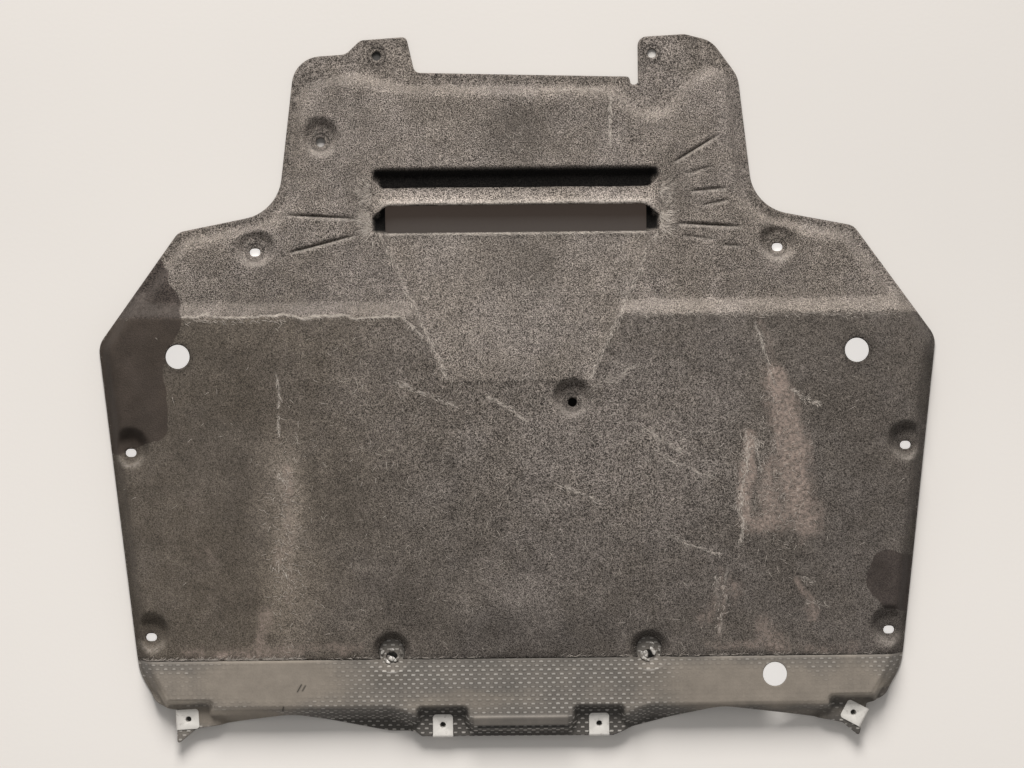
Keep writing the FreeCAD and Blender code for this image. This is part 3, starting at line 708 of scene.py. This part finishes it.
def felt_material(settings, name="felt"):
    """Grey felt of dark and pale fibres, with stains, dried mud and a fine nap, painted shade in creases and
    in the louvre bay, and painted highlights where faces turn to the key light.
    """
    graph = Graph(name)
    tone_and_painted_light, stain, mud, painted_bay_shade, quiet, warm, crease_shade, fray_and_highlight = (graph.mask(key) for key in FELT_MASKS)
    cloud = graph.noise(16, 4, 0.6)
    ragged = graph.noise(60, 4, 0.65)
    mottle = graph.noise(48, 5, 0.62)
    clumps = graph.noise(170, 3, 0.6)
    grain = graph.noise(880, 2, 0.6, distortion=0.5)
    specks = graph.noise(1700, 1, 0.6)
    hairs = graph.noise(620, 2, 0.6, graph.stretched(28, 0.2))
    crossing = graph.noise(640, 2, 0.6, graph.stretched(-52, 0.2))
    runs = graph.noise(75, 4, 0.65, graph.stretched(2, 0.22))
    flakes = graph.noise(300, 4, 0.7)
    wet = (stain + (ragged - 0.5) * 0.5).smooth(0.40, 0.60)
    caked = (mud + (ragged - 0.5) * 0.7 + (runs - 0.5) * 0.9).smooth(0.25, 0.85)
    crust = caked * (0.25 + 0.75 * flakes.smooth(0.38, 0.60))
    pepper = grain.smooth(0.28, 0.70) * 0.6 + specks.smooth(0.28, 0.72) * 0.4
    streak = (hairs.smooth(0.55, 0.68) + crossing.smooth(0.55, 0.68)) * 0.26
    lively = 1.0 - (quiet * 0.68 + wet * 0.25)
    level = ((pepper - 0.5) * (1.0 + 1.7 * clumps) + (clumps - 0.5) * 0.4 + streak * 0.6) * lively + 0.30
    felt = graph.mix(level, settings.dark, settings.pale)
    for factor, plain, tint in ((cloud.smooth(0.36, 0.64), (1.02, 1.0, 0.98), (1.0, 0.99, 1.0)),
                                (warm, WHITE, (1.02, 0.99, 0.92)), (wet, WHITE, (0.58, 0.54, 0.54))):
        felt = graph.vector("MULTIPLY", felt, graph.mix(factor, plain, tint))
    # Random mottling, and the painted shade in the creases.
    shade = (0.64 + 0.72 * cloud) * (0.52 + 0.96 * mottle) * (1.0 - 0.6 * crease_shade)
    felt = graph.scaled(felt, tone_and_painted_light * shade)
    felt = graph.mix(crust * 0.95, felt, settings.mud)
    felt = graph.mix(caked * flakes.smooth(0.62, 0.70) * 0.6, felt, settings.fuzz)
    # Pale fibre colour on frayed lines and on the painted highlights.
    felt = graph.mix(fray_and_highlight * (0.2 + 0.8 * flakes.smooth(0.40, 0.56)) * 0.85, felt, settings.fuzz)
    nap = pepper * 0.7 + streak * 0.6 + crust * 0.4
    # Base colour, darkened in the louvre bay by its painted shade.
    return graph.finish({"Base Color": graph.scaled(felt, 1.0 - 0.97 * painted_bay_shade), "Roughness": 0.96 - 0.14 * wet,
                         "Specular IOR Level": 0.2, "Normal": graph.bump(nap, 0.0008, 0.8)})


def line_points(lines, offsets):
    """Close rows of mesh points along lines that begin with start and end."""
    found = []
    for line in lines:
        start, run, across = segment(*line[:2])
        steps = np.linspace(-0.04, 1.04, max(3, int(np.linalg.norm(run) / 1.4)))
        found += [start + steps[:, None] * run + offset * across for offset in offsets]
    return found


def ring_points():
    """Close mesh points round the embossed holes."""
    found = []
    for x, y in RINGED_HOLES:
        grid = hex_grid((x - 13, y - 13), (x + 13, y + 13), 1.15)
        found.append(grid[radius_from(grid, (x, y)) < 12.5])
    return found


def felt_relief(points, lump):
    """Unevenness, pleats and hole rings of the felt."""
    relief = lump * (wave(points, 27, 5) + 0.6 * wave(points, 10, 6))
    for start, end, depth in PLEATS:
        gap, along = segment_distance(points, start, end)
        taper = np.sin(math.pi * unit(0.06 + 0.94 * along)) ** 0.6
        relief -= 1.3 * depth * taper * (bell(gap, 0, 1.3) - 0.3 * bell(gap, 3.2, 1.6))
    for hole in RINGED_HOLES:
        radius = radius_from(points, hole)
        relief += 0.7 * np.cos((radius - 6.2) * math.tau / 3.1) * bell(radius, 7.2, 2.6)
    return relief


class UNDERTRAY_OT_felt(bpy.types.Operator):
    """Builds the pressed felt shield over its CAD node"""
    bl_idname = "undertray.felt"
    bl_label = "Felt shield"

    def execute(self, context):
        settings = context.scene.undertray_felt
        softness = settings.softness / MM
        sheet = Sheet("felt_shield")
        edge = Edge(sheet, 2.2)
        close = line_points(PLEATS + SCRATCHES + [RAMP_FOOT], (-2.4, -1.2, 0, 1.2, 2.4))
        close += ring_points()
        close += line_points([line for line in FRAYS if line[2] > 0.35], range(-4, 5))
        flat, wall = settings.flat_spacing / MM, settings.wall_spacing / MM
        top = Meshed(sheet, edge, inner_points(sheet, edge, (0.6, 1.7), flat, wall, close))
        back = Meshed(sheet, edge, inner_points(sheet, edge, (1.4,), 8.0, 3.2))
        distance = edge.distance(top.points)
        top_z = sheet.soft_back(top.points, softness) + FELT_THICKNESS
        # How far the felt's top leans towards the key light, for its painted highlights.
        rub_streaks_and_lit_slopes = facing_rear(top, top_z)
        top_z += felt_relief(top.points, settings.lump / MM) * unit(distance / 4)
        top_z -= rounding(distance, settings.edge_radius / MM)
        flush = 0.4 + 0.5 * band(np.abs(top.points[:, 0]), 190, FAR, 20)
        top_z -= flush * band(top.points[:, 1], SEAM_Y - 9, SEAM_Y + 2, 4)
        back_z = np.maximum(sheet.soft_back(back.points, softness), 0.0)
        points, faces = joined(top, top_z, back, back_z, edge.links)
        plan = np.concatenate([top.points, back.points])
        hidden = np.zeros(len(back.points))
        masks = felt_masks(plan, np.concatenate([distance, hidden + FAR]), np.concatenate([rub_streaks_and_lit_slopes, hidden]))
        made = new_object("felt_body", points, faces, felt_material(settings), masks)
        hold(made, "felt", "felt_shield")
        return {"FINISHED"}


class UNDERTRAY_OT_blade(bpy.types.Operator):
    """Builds the louvre blade between the two slots"""
    bl_idname = "undertray.blade"
    bl_label = "Louvre blade"

    def execute(self, context):
        settings = context.scene.undertray_felt
        nose_radius, tail_radius = 2.3, 1.5
        nose = np.array([BLADE_NOSE[0] + 1.6, BLADE_NOSE[1] - 1.9])
        tail = np.array([BLADE_TAIL[0] - 1.5, BLADE_TAIL[1] - 1.5])
        nose_turns, tail_turns = np.linspace(0.5, 1.5, 13), np.linspace(1.5, 2.5, 9)
        between = (0.2, 0.4, 0.6, 0.8)
        stations = np.linspace(-BAY_HALF - 8, BAY_HALF + 8, 200)
        points = []
        for x in stations:
            flare = unit((abs(x) - 126) / 18) ** 1.5
            late = unit((abs(x) - 132) / 12) ** 1.3
            sink = unit((abs(x) - BAY_HALF - 3) / 4)
            front = nose + np.array([-13.0 * flare, 0.6 * flare - sink])
            rear = tail + np.array([9.0 * late, 5.2 * late - sink])
            lean = math.atan2(*(rear - front)[::-1])
            bend = 0.7 * noise.noise(Vector((x / 60, 3.3, 0)))
            ring = [(front, nose_radius, lean + math.pi * turn) for turn in nose_turns]
            ring += [(rear, tail_radius + 0.9 * late, lean + math.pi * turn) for turn in tail_turns]
            ring += [(rear + (front - rear) * s, tail_radius + (nose_radius - tail_radius) * s,
                      lean + math.pi / 2) for s in between]
            for centre, radius, turn in ring:
                out = np.array([math.cos(turn), math.sin(turn)])
                y, z = centre + radius * out
                fluff = 0.5 * noise.noise(Vector((x / 9, y / 4, z / 4)))
                fluff += 0.3 * noise.noise(Vector((x / 3, y / 2, z)))
                points.append((x, y + bend + fluff * out[0], z + fluff * out[1] - 0.4 * bend))
        size, rows = len(ring), len(stations)
        faces = quads(rows, size) + [tuple(range(size))[::-1], tuple(range((rows - 1) * size, rows * size))]
        points = np.array(points)
        x, y, z = points.T
        middle = band(np.abs(x), -1, BAY_HALF - 4, 14)
        masks = {key: np.zeros(len(points)) for key in FELT_MASKS}
        # Painted highlight along the blade's nose, and painted shade lower down towards the bay floor.
        masks["tone_and_painted_light"] = 1.0 + middle * (0.12 + 0.45 * bell(y, BLADE_NOSE[0] + 2, 5))
        masks["tone_and_painted_light"] *= np.clip((z - 5) / 6, 0.15, 1)
        # Pale line at the nose: frayed fibres and painted highlight.
        masks["fray_and_highlight"] = 0.7 * middle * bell(y, BLADE_NOSE[0] + 1, 3)
        made = new_object("louvre_blade", points * MM, faces, felt_material(settings, "blade_felt"), masks)
        hold(made, "felt", "felt_shield")
        return {"FINISHED"}


def strip_masks(points, heights, settings):
    """Stud pattern and dust of the strip at points (n, 2), with painted light and shade."""
    x, y = points.T
    side = np.abs(x)
    pitch, gap = settings.stud_pitch / MM, settings.row_gap / MM
    fall = np.maximum(STRIP_LEVEL - heights, 0)
    at_front = fall * (y < FOLD_Y + 14)
    run = y - 0.6 * at_front
    row = np.round(run / gap)
    staggered = x + 0.5 * pitch * (row % 2)
    across = (staggered + pitch / 2) % pitch - pitch / 2
    reach = (np.abs(across) / (settings.stud_length / MM / 2)) ** 3
    reach += (np.abs(run - row * gap) / (settings.stud_width / MM / 2)) ** 3
    drift = points + 10 * np.stack([wave(points, 45, 7), wave(points, 30, 8)], 1)
    dust = np.max([weight * unit(1.5 * blob(drift, *spot)) for *spot, weight in DUST], axis=0)
    plain = band(side, -1, 47, 2) * band(y, -337, -327, 1.2)
    place = (61 * row + 17 * np.round(staggered / pitch)).astype(int)
    wear = np.random.default_rng(5).uniform(0.45, 1.0, WEAR_STEPS)[place % WEAR_STEPS]
    stud = unit(1.5 - 1.2 * reach) * (1 - 0.9 * dust) * (1 - plain) * wear
    # Gloss near the front bolts: real smoother plastic, and painted glints that brighten the studs there.
    gloss_and_painted_glint = np.maximum(blob(points, -132, -286, 22, 12), blob(points, 126, -286, 26, 12))
    # Painted shade: a darker ring round each stud.
    stud_shadow = bell(reach, 2.6, 1.3) * (1 - dust) * (1 - plain)
    lip = unit(at_front / 5) * unit((x + 250) / 60) * (1 - plain)
    # Scratch marks, and the painted shadow line under the tongue.
    marks_and_tongue_shadow = line_mask(points, [(*line, 1.0) for line in TICKS])
    # Painted light on the pocket walls beside the outer nuts, which face away from the key light.
    painted_pocket_light = bell(side, NUT_HOLES[3][0], 44) * band(y, -326, -300, 8)
    tone_and_painted_light = 0.92 - 0.06 * blob(points, 0, -296, 170, 40) + 0.7 * painted_pocket_light * band(fall, 0.6, 13.4, 1)
    # Painted highlight along the top of the fold and on the top edge of the tongue, which face the key light.
    fold_highlight = bell(y, FOLD_Y + 1.5 + 3 * wave(points, 60, 16), 1.5) * band(side, 105, 310, 12)
    tone_and_painted_light += 0.22 * fold_highlight - 0.30 * stud_shadow + 0.3 * plain * band(y, -328.6, -326, 1)
    # Painted light on the strip just in front of the felt's edge, where that edge casts its shadow.
    tone_and_painted_light += 0.4 * band(side, 190, FAR, 20) * band(y, SEAM_Y - 2.5, SEAM_Y + 1, 1)
    return dict(zip(STRIP_MASKS, (stud, dust, gloss_and_painted_glint, plain, lip, marks_and_tongue_shadow, tone_and_painted_light)))


def strip_material(settings):
    """Dusty woven-look plastic with worn, brighter studs, painted glints near the bolts and painted shade
    round the studs and under the tongue.
    """
    graph = Graph("strip_plastic")
    stud, dust, gloss_and_painted_glint, plain, lip, marks_and_tongue_shadow, tone_and_painted_light = (graph.mask(name) for name in STRIP_MASKS)
    cloud = graph.noise(38, 4, 0.6)
    smears = graph.noise(120, 4, 0.65)
    fine = graph.noise(700, 3, 0.6)
    # Streaks of rubbing wear on the studs.
    rub_streaks_and_lit_slopes = graph.noise(90, 3, 0.6, graph.stretched(86, 0.25))
    film = (dust * 0.85 + cloud * 0.6 - 0.1 - 0.3 * lip).smooth(0.1, 0.9)
    gaps = graph.scaled(graph.mix(lip, settings.plastic, settings.hollow), 1.0 - 0.25 * gloss_and_painted_glint)
    # Worn studs, made brighter near the bolts by the painted glints.
    worn = stud.smooth(0.12, 0.62) * (0.50 + 0.9 * rub_streaks_and_lit_slopes + 0.8 * gloss_and_painted_glint)
    base = graph.mix(worn, gaps, settings.stud)
    base = graph.mix(film * 0.85, base, settings.dust)
    shade = tone_and_painted_light * (0.78 + 0.44 * cloud) * (0.84 + 0.32 * smears) * (0.88 + 0.24 * fine)
    # The tongue a little paler; scratch marks and the painted shadow line under the tongue darker.
    shade = shade * (1.0 + 0.30 * plain) * (1.0 - 0.93 * marks_and_tongue_shadow)
    rough = 0.60 + 0.24 * film - 0.28 * gloss_and_painted_glint + 0.1 * (fine - 0.5)
    return graph.finish({"Base Color": graph.scaled(base, shade), "Roughness": rough,
                         "Specular IOR Level": 0.4, "Normal": graph.bump(fine + 0.5 * rub_streaks_and_lit_slopes, 0.0002, 0.5)})


class UNDERTRAY_OT_strip(bpy.types.Operator):
    """Builds the studded front strip over its CAD node"""
    bl_idname = "undertray.strip"
    bl_label = "Studded strip"

    def execute(self, context):
        settings = context.scene.undertray_strip
        sheet = Sheet("front_strip")
        edge = Edge(sheet, 1.2)
        spacing = settings.spacing / MM
        top = Meshed(sheet, edge, inner_points(sheet, edge, (0.35, 0.9), spacing, spacing))
        back = Meshed(sheet, edge, inner_points(sheet, edge, (0.8,), 5.0, 2.4))
        heights = sheet.soft_back(top.points, 1.0) + STRIP_THICKNESS
        distance = edge.distance(top.points)
        masks = strip_masks(top.points, heights, settings)
        buckle = 0.5 * wave(top.points, 38, 9) * unit(distance / 6)
        studs = settings.stud_height / MM * masks["stud"] * unit(distance / 1.5)
        top_z = heights + studs + buckle + 0.8 * masks["plain"] - rounding(distance, 0.6)
        back_z = np.maximum(sheet.soft_back(back.points, 1.0), 0.0)
        points, faces = joined(top, top_z, back, back_z, edge.links)
        hidden = np.zeros(len(back.points))
        masks = {key: np.concatenate([values, hidden]) for key, values in masks.items()}
        made = new_object("strip_body", points, faces, strip_material(settings), masks)
        hold(made, "strip", "front_strip")
        return {"FINISHED"}


def surface_of(name):
    """Search tree over a finished piece, in mm."""
    mesh = bpy.data.objects[name].data
    points = [v.co / MM for v in mesh.vertices]
    return BVHTree.FromPolygons(points, [tuple(p.vertices) for p in mesh.polygons])


def lying_paths(tree, starts, headings, lengths, curls, lifts, stations=4):
    """Fibres that lie on a surface: arrays of points (n, stations, 3)."""
    steps = np.linspace(0, 1, stations)
    turned = headings[:, None] + curls[:, None] * steps[None, :]
    move = np.stack([np.cos(turned), np.sin(turned)], 2) * (lengths / (stations - 1))[:, None, None]
    plan = starts[:, None, :] + np.cumsum(move, axis=1) - move
    paths = []
    for path, lift in zip(plan.tolist(), lifts.tolist()):
        found = [tree.ray_cast(Vector((x, y, FAR)), DOWN)[0] for x, y in path]
        in_bay = any(SLOT_FRONT < y < BAY_REAR + 1 and abs(x) < BAY_HALF + 4 for x, y in path)
        if all(found) and not in_bay:
            arch = lift * np.sin(math.pi * (0.1 + 0.9 * steps))
            paths.append([(p.x, p.y, p.z + 0.05 + rise) for p, rise in zip(found, arch)])
    return np.array(paths)


def fibre_mesh(paths, widths):
    """Thin closed three-sided hairs along paths (n, stations, 3), ending in a point."""
    count, stations, _ = paths.shape
    along = directions(paths[:, -1] - paths[:, 0])
    side = directions(np.cross(along, (0.31, 0.17, 0.93)))
    over = np.cross(side, along)
    rings = []
    for k in range(3):
        turn = math.tau * k / 3
        spread = (math.cos(turn) * side + math.sin(turn) * over) * widths[:, None] / 2
        rings.append(paths[:, :-1] + spread[:, None, :])
    body = np.stack(rings, 2).reshape(count, -1, 3)
    points = np.concatenate([body, paths[:, -1:]], axis=1)
    size = points.shape[1]
    tips = [(size - 4 + k, size - 4 + (k + 1) % 3, size - 1) for k in range(3)]
    hair = quads(stations - 1, 3) + tips + [(2, 1, 0)]
    return points.reshape(-1, 3), [tuple(size * n + i for i in face) for n in range(count) for face in hair]


def line_starts(rng, start, end, count, spread):
    """Random starts along a segment, and its heading."""
    start, run, across = segment(start, end)
    along = rng.random(count)[:, None]
    starts = start + along * run + rng.normal(0, spread, count)[:, None] * across
    return starts, math.atan2(run[1], run[0])


class UNDERTRAY_OT_fuzz(bpy.types.Operator):
    """Builds the loose and frayed fibres on the felt"""
    bl_idname = "undertray.fuzz"
    bl_label = "Loose fibres"

    def execute(self, context):
        settings = context.scene.undertray_felt
        rng = np.random.default_rng(7)
        tree = surface_of("felt_body")
        paths, widths = [], []

        def lay(starts, headings, length, width, lift=0.25):
            count = len(starts)
            laid = lying_paths(tree, starts, headings, length * rng.uniform(0.5, 1.5, count),
                               rng.normal(0, 0.7, count), lift * rng.uniform(0.3, 1.5, count))
            if len(laid):
                paths.append(laid)
                widths.append(np.full(len(laid), width))

        frayed = [(*line, 50, 1.4, SCRATCH_RAGGED, 0.4, 4, 0.42) for line in SCRATCHES]
        frayed += [(start, end, *rest, 0.45, 4.5, 0.40) for start, end, _, *rest in FRAYS]
        for start, end, count, spread, ragged, turn, length, width in frayed:
            starts, heading = line_starts(rng, start, end, count, spread)
            starts -= ragged * wobble(starts)
            lay(starts, heading + rng.normal(0, turn, count), length, width)
        count = 130
        for side in (-1, 1):
            for y in (160, 172, 196):
                turn = rng.normal(0 if side > 0 else math.pi, 0.75, count)
                reach = rng.uniform(2, 16, count)
                spot = np.array([side * (BAY_HALF + 2), y])
                lay(spot + reach[:, None] * np.stack([np.cos(turn), np.sin(turn)], 1), turn, 6, 0.34)
        for x, y, half_x, half_y, count in FUZZ:
            starts = np.array([x, y]) + rng.normal(0, 0.6, (count, 2)) * np.array([half_x, half_y])
            lay(starts, rng.uniform(0, math.tau, count), 6, 0.34, 0.4)
        edge = Edge(Sheet("felt_shield"), 1.3)
        pick = rng.permutation(len(edge.places))[:EDGE_FIBRES]
        inward = edge.inward[pick]
        outward = np.arctan2(-inward[:, 1], -inward[:, 0])
        lay(edge.places[pick] + inward * 1.2, outward + rng.normal(0, 0.9, EDGE_FIBRES), 1.6, 0.2)
        points, faces = fibre_mesh(np.concatenate(paths), np.concatenate(widths))
        graph = Graph("fibre")
        tint, fine = graph.noise(140, 2), graph.noise(900, 1)
        base = graph.mix(tint, settings.fuzz, settings.pale)
        material = graph.finish({"Base Color": graph.scaled(base, 0.8 + 0.4 * fine),
                                 "Roughness": 0.85 + 0.1 * tint, "Specular IOR Level": 0.3})
        made = new_object("loose_fibres", points * MM, faces, material)
        hold(made, "felt")
        return {"FINISHED"}


class UNDERTRAY_OT_scraps(bpy.types.Operator):
    """Builds the torn film round the two front bolt holes"""
    bl_idname = "undertray.scraps"
    bl_label = "Torn film"

    def execute(self, context):
        settings = context.scene.undertray_strip
        points, faces = [], []
        across = np.linspace(-0.5, 0.5, 4)
        for hole, radius, first, last, width, lift, tilt in SCRAPS:
            centre = FRONT_HOLES[hole]
            first, sweep = math.radians(first), math.radians(last - first)
            count = max(5, int(radius * sweep / 0.8))
            base = len(points)
            for turn in np.linspace(first, first + sweep, count):
                taper = 0.45 + 0.55 * math.sin(math.pi * (turn - first) / sweep)
                for step in across * width * taper:
                    reach = radius + step
                    x, y = centre[0] + reach * math.cos(turn), centre[1] + 1.0 + reach * math.sin(turn)
                    crumple = noise.noise(Vector((x / 2.2, y / 2.2, hole)))
                    crumple += 0.5 * noise.noise(Vector((x, y, 4.0)))
                    points.append((x, y, SEAT_LEVEL + 0.7 + lift + tilt * step + 1.2 * crumple))
            for face in quads(count, len(across), False):
                faces.append(tuple(base + face[i] for i in (0, 3, 2, 1)))
        graph = Graph("torn_film")
        fine, cloud = graph.noise(900, 3, 0.6), graph.noise(150, 3, 0.6)
        base = graph.mix(cloud.smooth(0.42, 0.62), settings.plastic, settings.film)
        material = graph.finish({"Base Color": graph.scaled(base, 0.8 + 0.4 * fine),
                                 "Roughness": 0.14 + 0.2 * cloud, "Coat Weight": 0.3 + 0.4 * cloud,
                                 "Normal": graph.bump(fine + cloud, 0.0003, 0.6)})
        made = new_object("torn_film", np.array(points) * MM, faces, material)
        thicken = made.modifiers.new("film", "SOLIDIFY")
        thicken.thickness = FILM_THICKNESS * MM
        hold(made, "strip")
        return {"FINISHED"}


class UNDERTRAY_OT_nuts(bpy.types.Operator):
    """Builds the four U-nuts with rounded sheet edges"""
    bl_idname = "undertray.nuts"
    bl_label = "U-nuts"

    def execute(self, context):
        settings = context.scene.undertray_nuts
        work = bmesh.new()
        work.from_mesh(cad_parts["u_nuts"].data)
        bmesh.ops.remove_doubles(work, verts=work.verts, dist=1e-6)
        bmesh.ops.dissolve_limit(work, angle_limit=math.radians(1), verts=work.verts, edges=work.edges)
        mesh = bpy.data.meshes.new("nuts")
        work.to_mesh(mesh)
        work.free()
        graph = Graph("zinc_coat")
        cloud, fine = graph.noise(120, 4, 0.6), graph.noise(1400, 3, 0.6)
        grime = graph.noise(260, 4, 0.65).smooth(0.55, 0.75)
        base = graph.mix(grime * 0.5, settings.zinc, settings.grime)
        mesh.materials.append(graph.finish({"Base Color": graph.scaled(base, 0.86 + 0.28 * cloud),
                                            "Metallic": 0.22 - 0.18 * grime, "Roughness": 0.42 + 0.3 * cloud,
                                            "Normal": graph.bump(fine, 0.0001, 0.4)}))
        made = bpy.data.objects.new("nuts_body", mesh)
        context.scene.collection.objects.link(made)
        soften = made.modifiers.new("edges", "BEVEL")
        soften.width = settings.edge
        soften.segments = 2
        soften.limit_method = "ANGLE"
        soften.angle_limit = math.radians(40)
        mesh.shade_smooth()
        hold(made, "zinc", "u_nuts")
        return {"FINISHED"}


class UNDERTRAY_OT_stage(bpy.types.Operator):
    """Builds the floor, the lights and the camera"""
    bl_idname = "undertray.stage"
    bl_label = "Stage"

    def execute(self, context):
        settings = context.scene.undertray_stage
        self.floor(settings)
        self.lights(context, settings)
        self.camera(context, settings)
        return {"FINISHED"}

    def patch(self, graph, centre, half):
        """1 on a rectangle of the floor given in mm, with soft edges."""
        middle = (centre[0] * MM, centre[1] * MM, 0)
        apart = graph.vector("ABSOLUTE", graph.vector("SUBTRACT", graph.place, middle))
        inside = [graph.part(apart, axis).smooth(reach * MM, (reach - 4) * MM)
                  for axis, reach in zip("XY", half)]
        return inside[0] * inside[1]

    def floor(self, settings):
        graph = Graph("floor")
        cloud, fine = graph.noise(2.2, 3), graph.noise(260, 2)
        camera = graph.node("ShaderNodeLightPath", output="Is Camera Ray")
        flat = graph.vector("MULTIPLY", graph.place, (1, 1, 0))
        # Painted light: the floor under the round and slotted holes glows for the camera, though it lies in
        # the part's shade.
        lit = 0.0
        holes = [(place, ROUND_REACH * MM) for place in ACCESS_HOLES + [DRAIN_HOLE]]
        holes += [(place, SLOT_REACH * MM) for place in SHOULDER_HOLES + SIDE_HOLES + CORNER_HOLES]
        for (x, y), reach in holes:
            gap = graph.vector("DISTANCE", flat, (x * MM, y * MM, 0), "Value")
            lit = gap.smooth(reach, reach * 0.9) + lit
        # Painted shade: the floor under the louvre is darkened and glows dark brown for the camera, and small
        # dark spots lie under the nut holes, the centre hole and the left ear hole.
        louvre = self.patch(graph, LOUVRE_CENTRE, LOUVRE_HALF)
        shaded = louvre
        dark = [(place, NUT_SPOT) for place in NUT_HOLES]
        dark += [(place, BOLT_SPOT) for place in (CENTRE_HOLE, EAR_HOLES[0])]
        for place, half in dark:
            shaded = self.patch(graph, place, (half, half)) + shaded
        # Painted shade: the floor's colour darkens towards the rear, where the key light falls stronger,
        # which evens out its brightness.
        rearward = graph.part(graph.place, "Y").smooth(-0.45, 0.45)
        even = (0.96 + 0.08 * cloud) * (1.03 - 0.30 * rearward)
        base = graph.scaled(tuple(settings.floor), even * (1.0 - 0.9 * shaded - 0.07 * louvre))
        glow = graph.mix(louvre, settings.glow, settings.painted_louvre_shade)
        material = graph.finish({"Base Color": base, "Roughness": 0.85 + 0.1 * fine,
                                 "Emission Color": graph.scaled(glow, camera * (lit + louvre)),
                                 "Emission Strength": 1.0, "Normal": graph.bump(fine, 0.0002, 0.3)})
        corners = [(x * FLOOR_HALF, y * FLOOR_HALF, FLOOR_Z) for x, y in ((-1, -1), (1, -1), (1, 1), (-1, 1))]
        new_object("floor", np.array(corners) * MM, [(0, 1, 2, 3)], material)

    def lights(self, context, settings):
        world = bpy.data.worlds.new("studio")
        world.use_nodes = True
        background = world.node_tree.nodes["Background"]
        background.inputs["Color"].default_value = FILL_COLOUR
        background.inputs["Strength"].default_value = settings.fill
        context.scene.world = world
        light = bpy.data.lights.new("key", "AREA")
        light.size = KEY_SIZE
        light.energy = settings.key_power
        light.color = KEY_COLOUR
        made = bpy.data.objects.new("key", light)
        made.location = KEY_PLACE
        made.rotation_euler = (-made.location).to_track_quat("-Z", "Y").to_euler()
        context.scene.collection.objects.link(made)

    def camera(self, context, settings):
        camera = bpy.data.cameras.new("camera")
        camera.lens = camera.sensor_width * (settings.camera_height - TRUE_SCALE_Z * MM) / PICTURE_WIDTH
        made = bpy.data.objects.new("camera", camera)
        made.location = (CAMERA_X, CAMERA_Y, settings.camera_height)
        made.rotation_euler = (0, 0, math.radians(CAMERA_TURN))
        context.scene.collection.objects.link(made)
        context.scene.camera = made
        context.scene.view_settings.view_transform = "Standard"


class UNDERTRAY_PT_panel(bpy.types.Panel):
    """Lists the build steps of the undertray"""
    bl_idname = "UNDERTRAY_PT_panel"
    bl_label = "Engine undertray"
    bl_space_type = "VIEW_3D"
    bl_region_type = "UI"
    bl_category = "Undertray"

    def draw(self, context):
        for group in GROUPS:
            box = self.layout.box()
            settings = getattr(context.scene, group)
            for name in settings.__annotations__:
                box.prop(settings, name)
        for step in STEPS:
            self.layout.operator(step.bl_idname)


GROUPS = {"undertray_felt": FeltSettings, "undertray_strip": StripSettings, "undertray_nuts": NutSettings,
          "undertray_stage": StageSettings}
STEPS = [UNDERTRAY_OT_felt, UNDERTRAY_OT_blade, UNDERTRAY_OT_strip, UNDERTRAY_OT_scraps, UNDERTRAY_OT_fuzz,
         UNDERTRAY_OT_nuts, UNDERTRAY_OT_stage]


def register():
    for group in GROUPS.values():
        bpy.utils.register_class(group)
    for key, group in GROUPS.items():
        setattr(bpy.types.Scene, key, bpy.props.PointerProperty(type=group))
    for step in STEPS + [UNDERTRAY_PT_panel]:
        bpy.utils.register_class(step)


def unregister():
    for step in [UNDERTRAY_PT_panel] + STEPS[::-1]:
        bpy.utils.unregister_class(step)
    for key, group in GROUPS.items():
        delattr(bpy.types.Scene, key)
        bpy.utils.unregister_class(group)


def main():
    register()
    bpy.ops.undertray.felt()
    bpy.ops.undertray.blade()
    bpy.ops.undertray.strip()
    bpy.ops.undertray.scraps()
    bpy.ops.undertray.fuzz()
    bpy.ops.undertray.nuts()
    bpy.ops.undertray.stage()


if __name__ == "__main__":
    main()
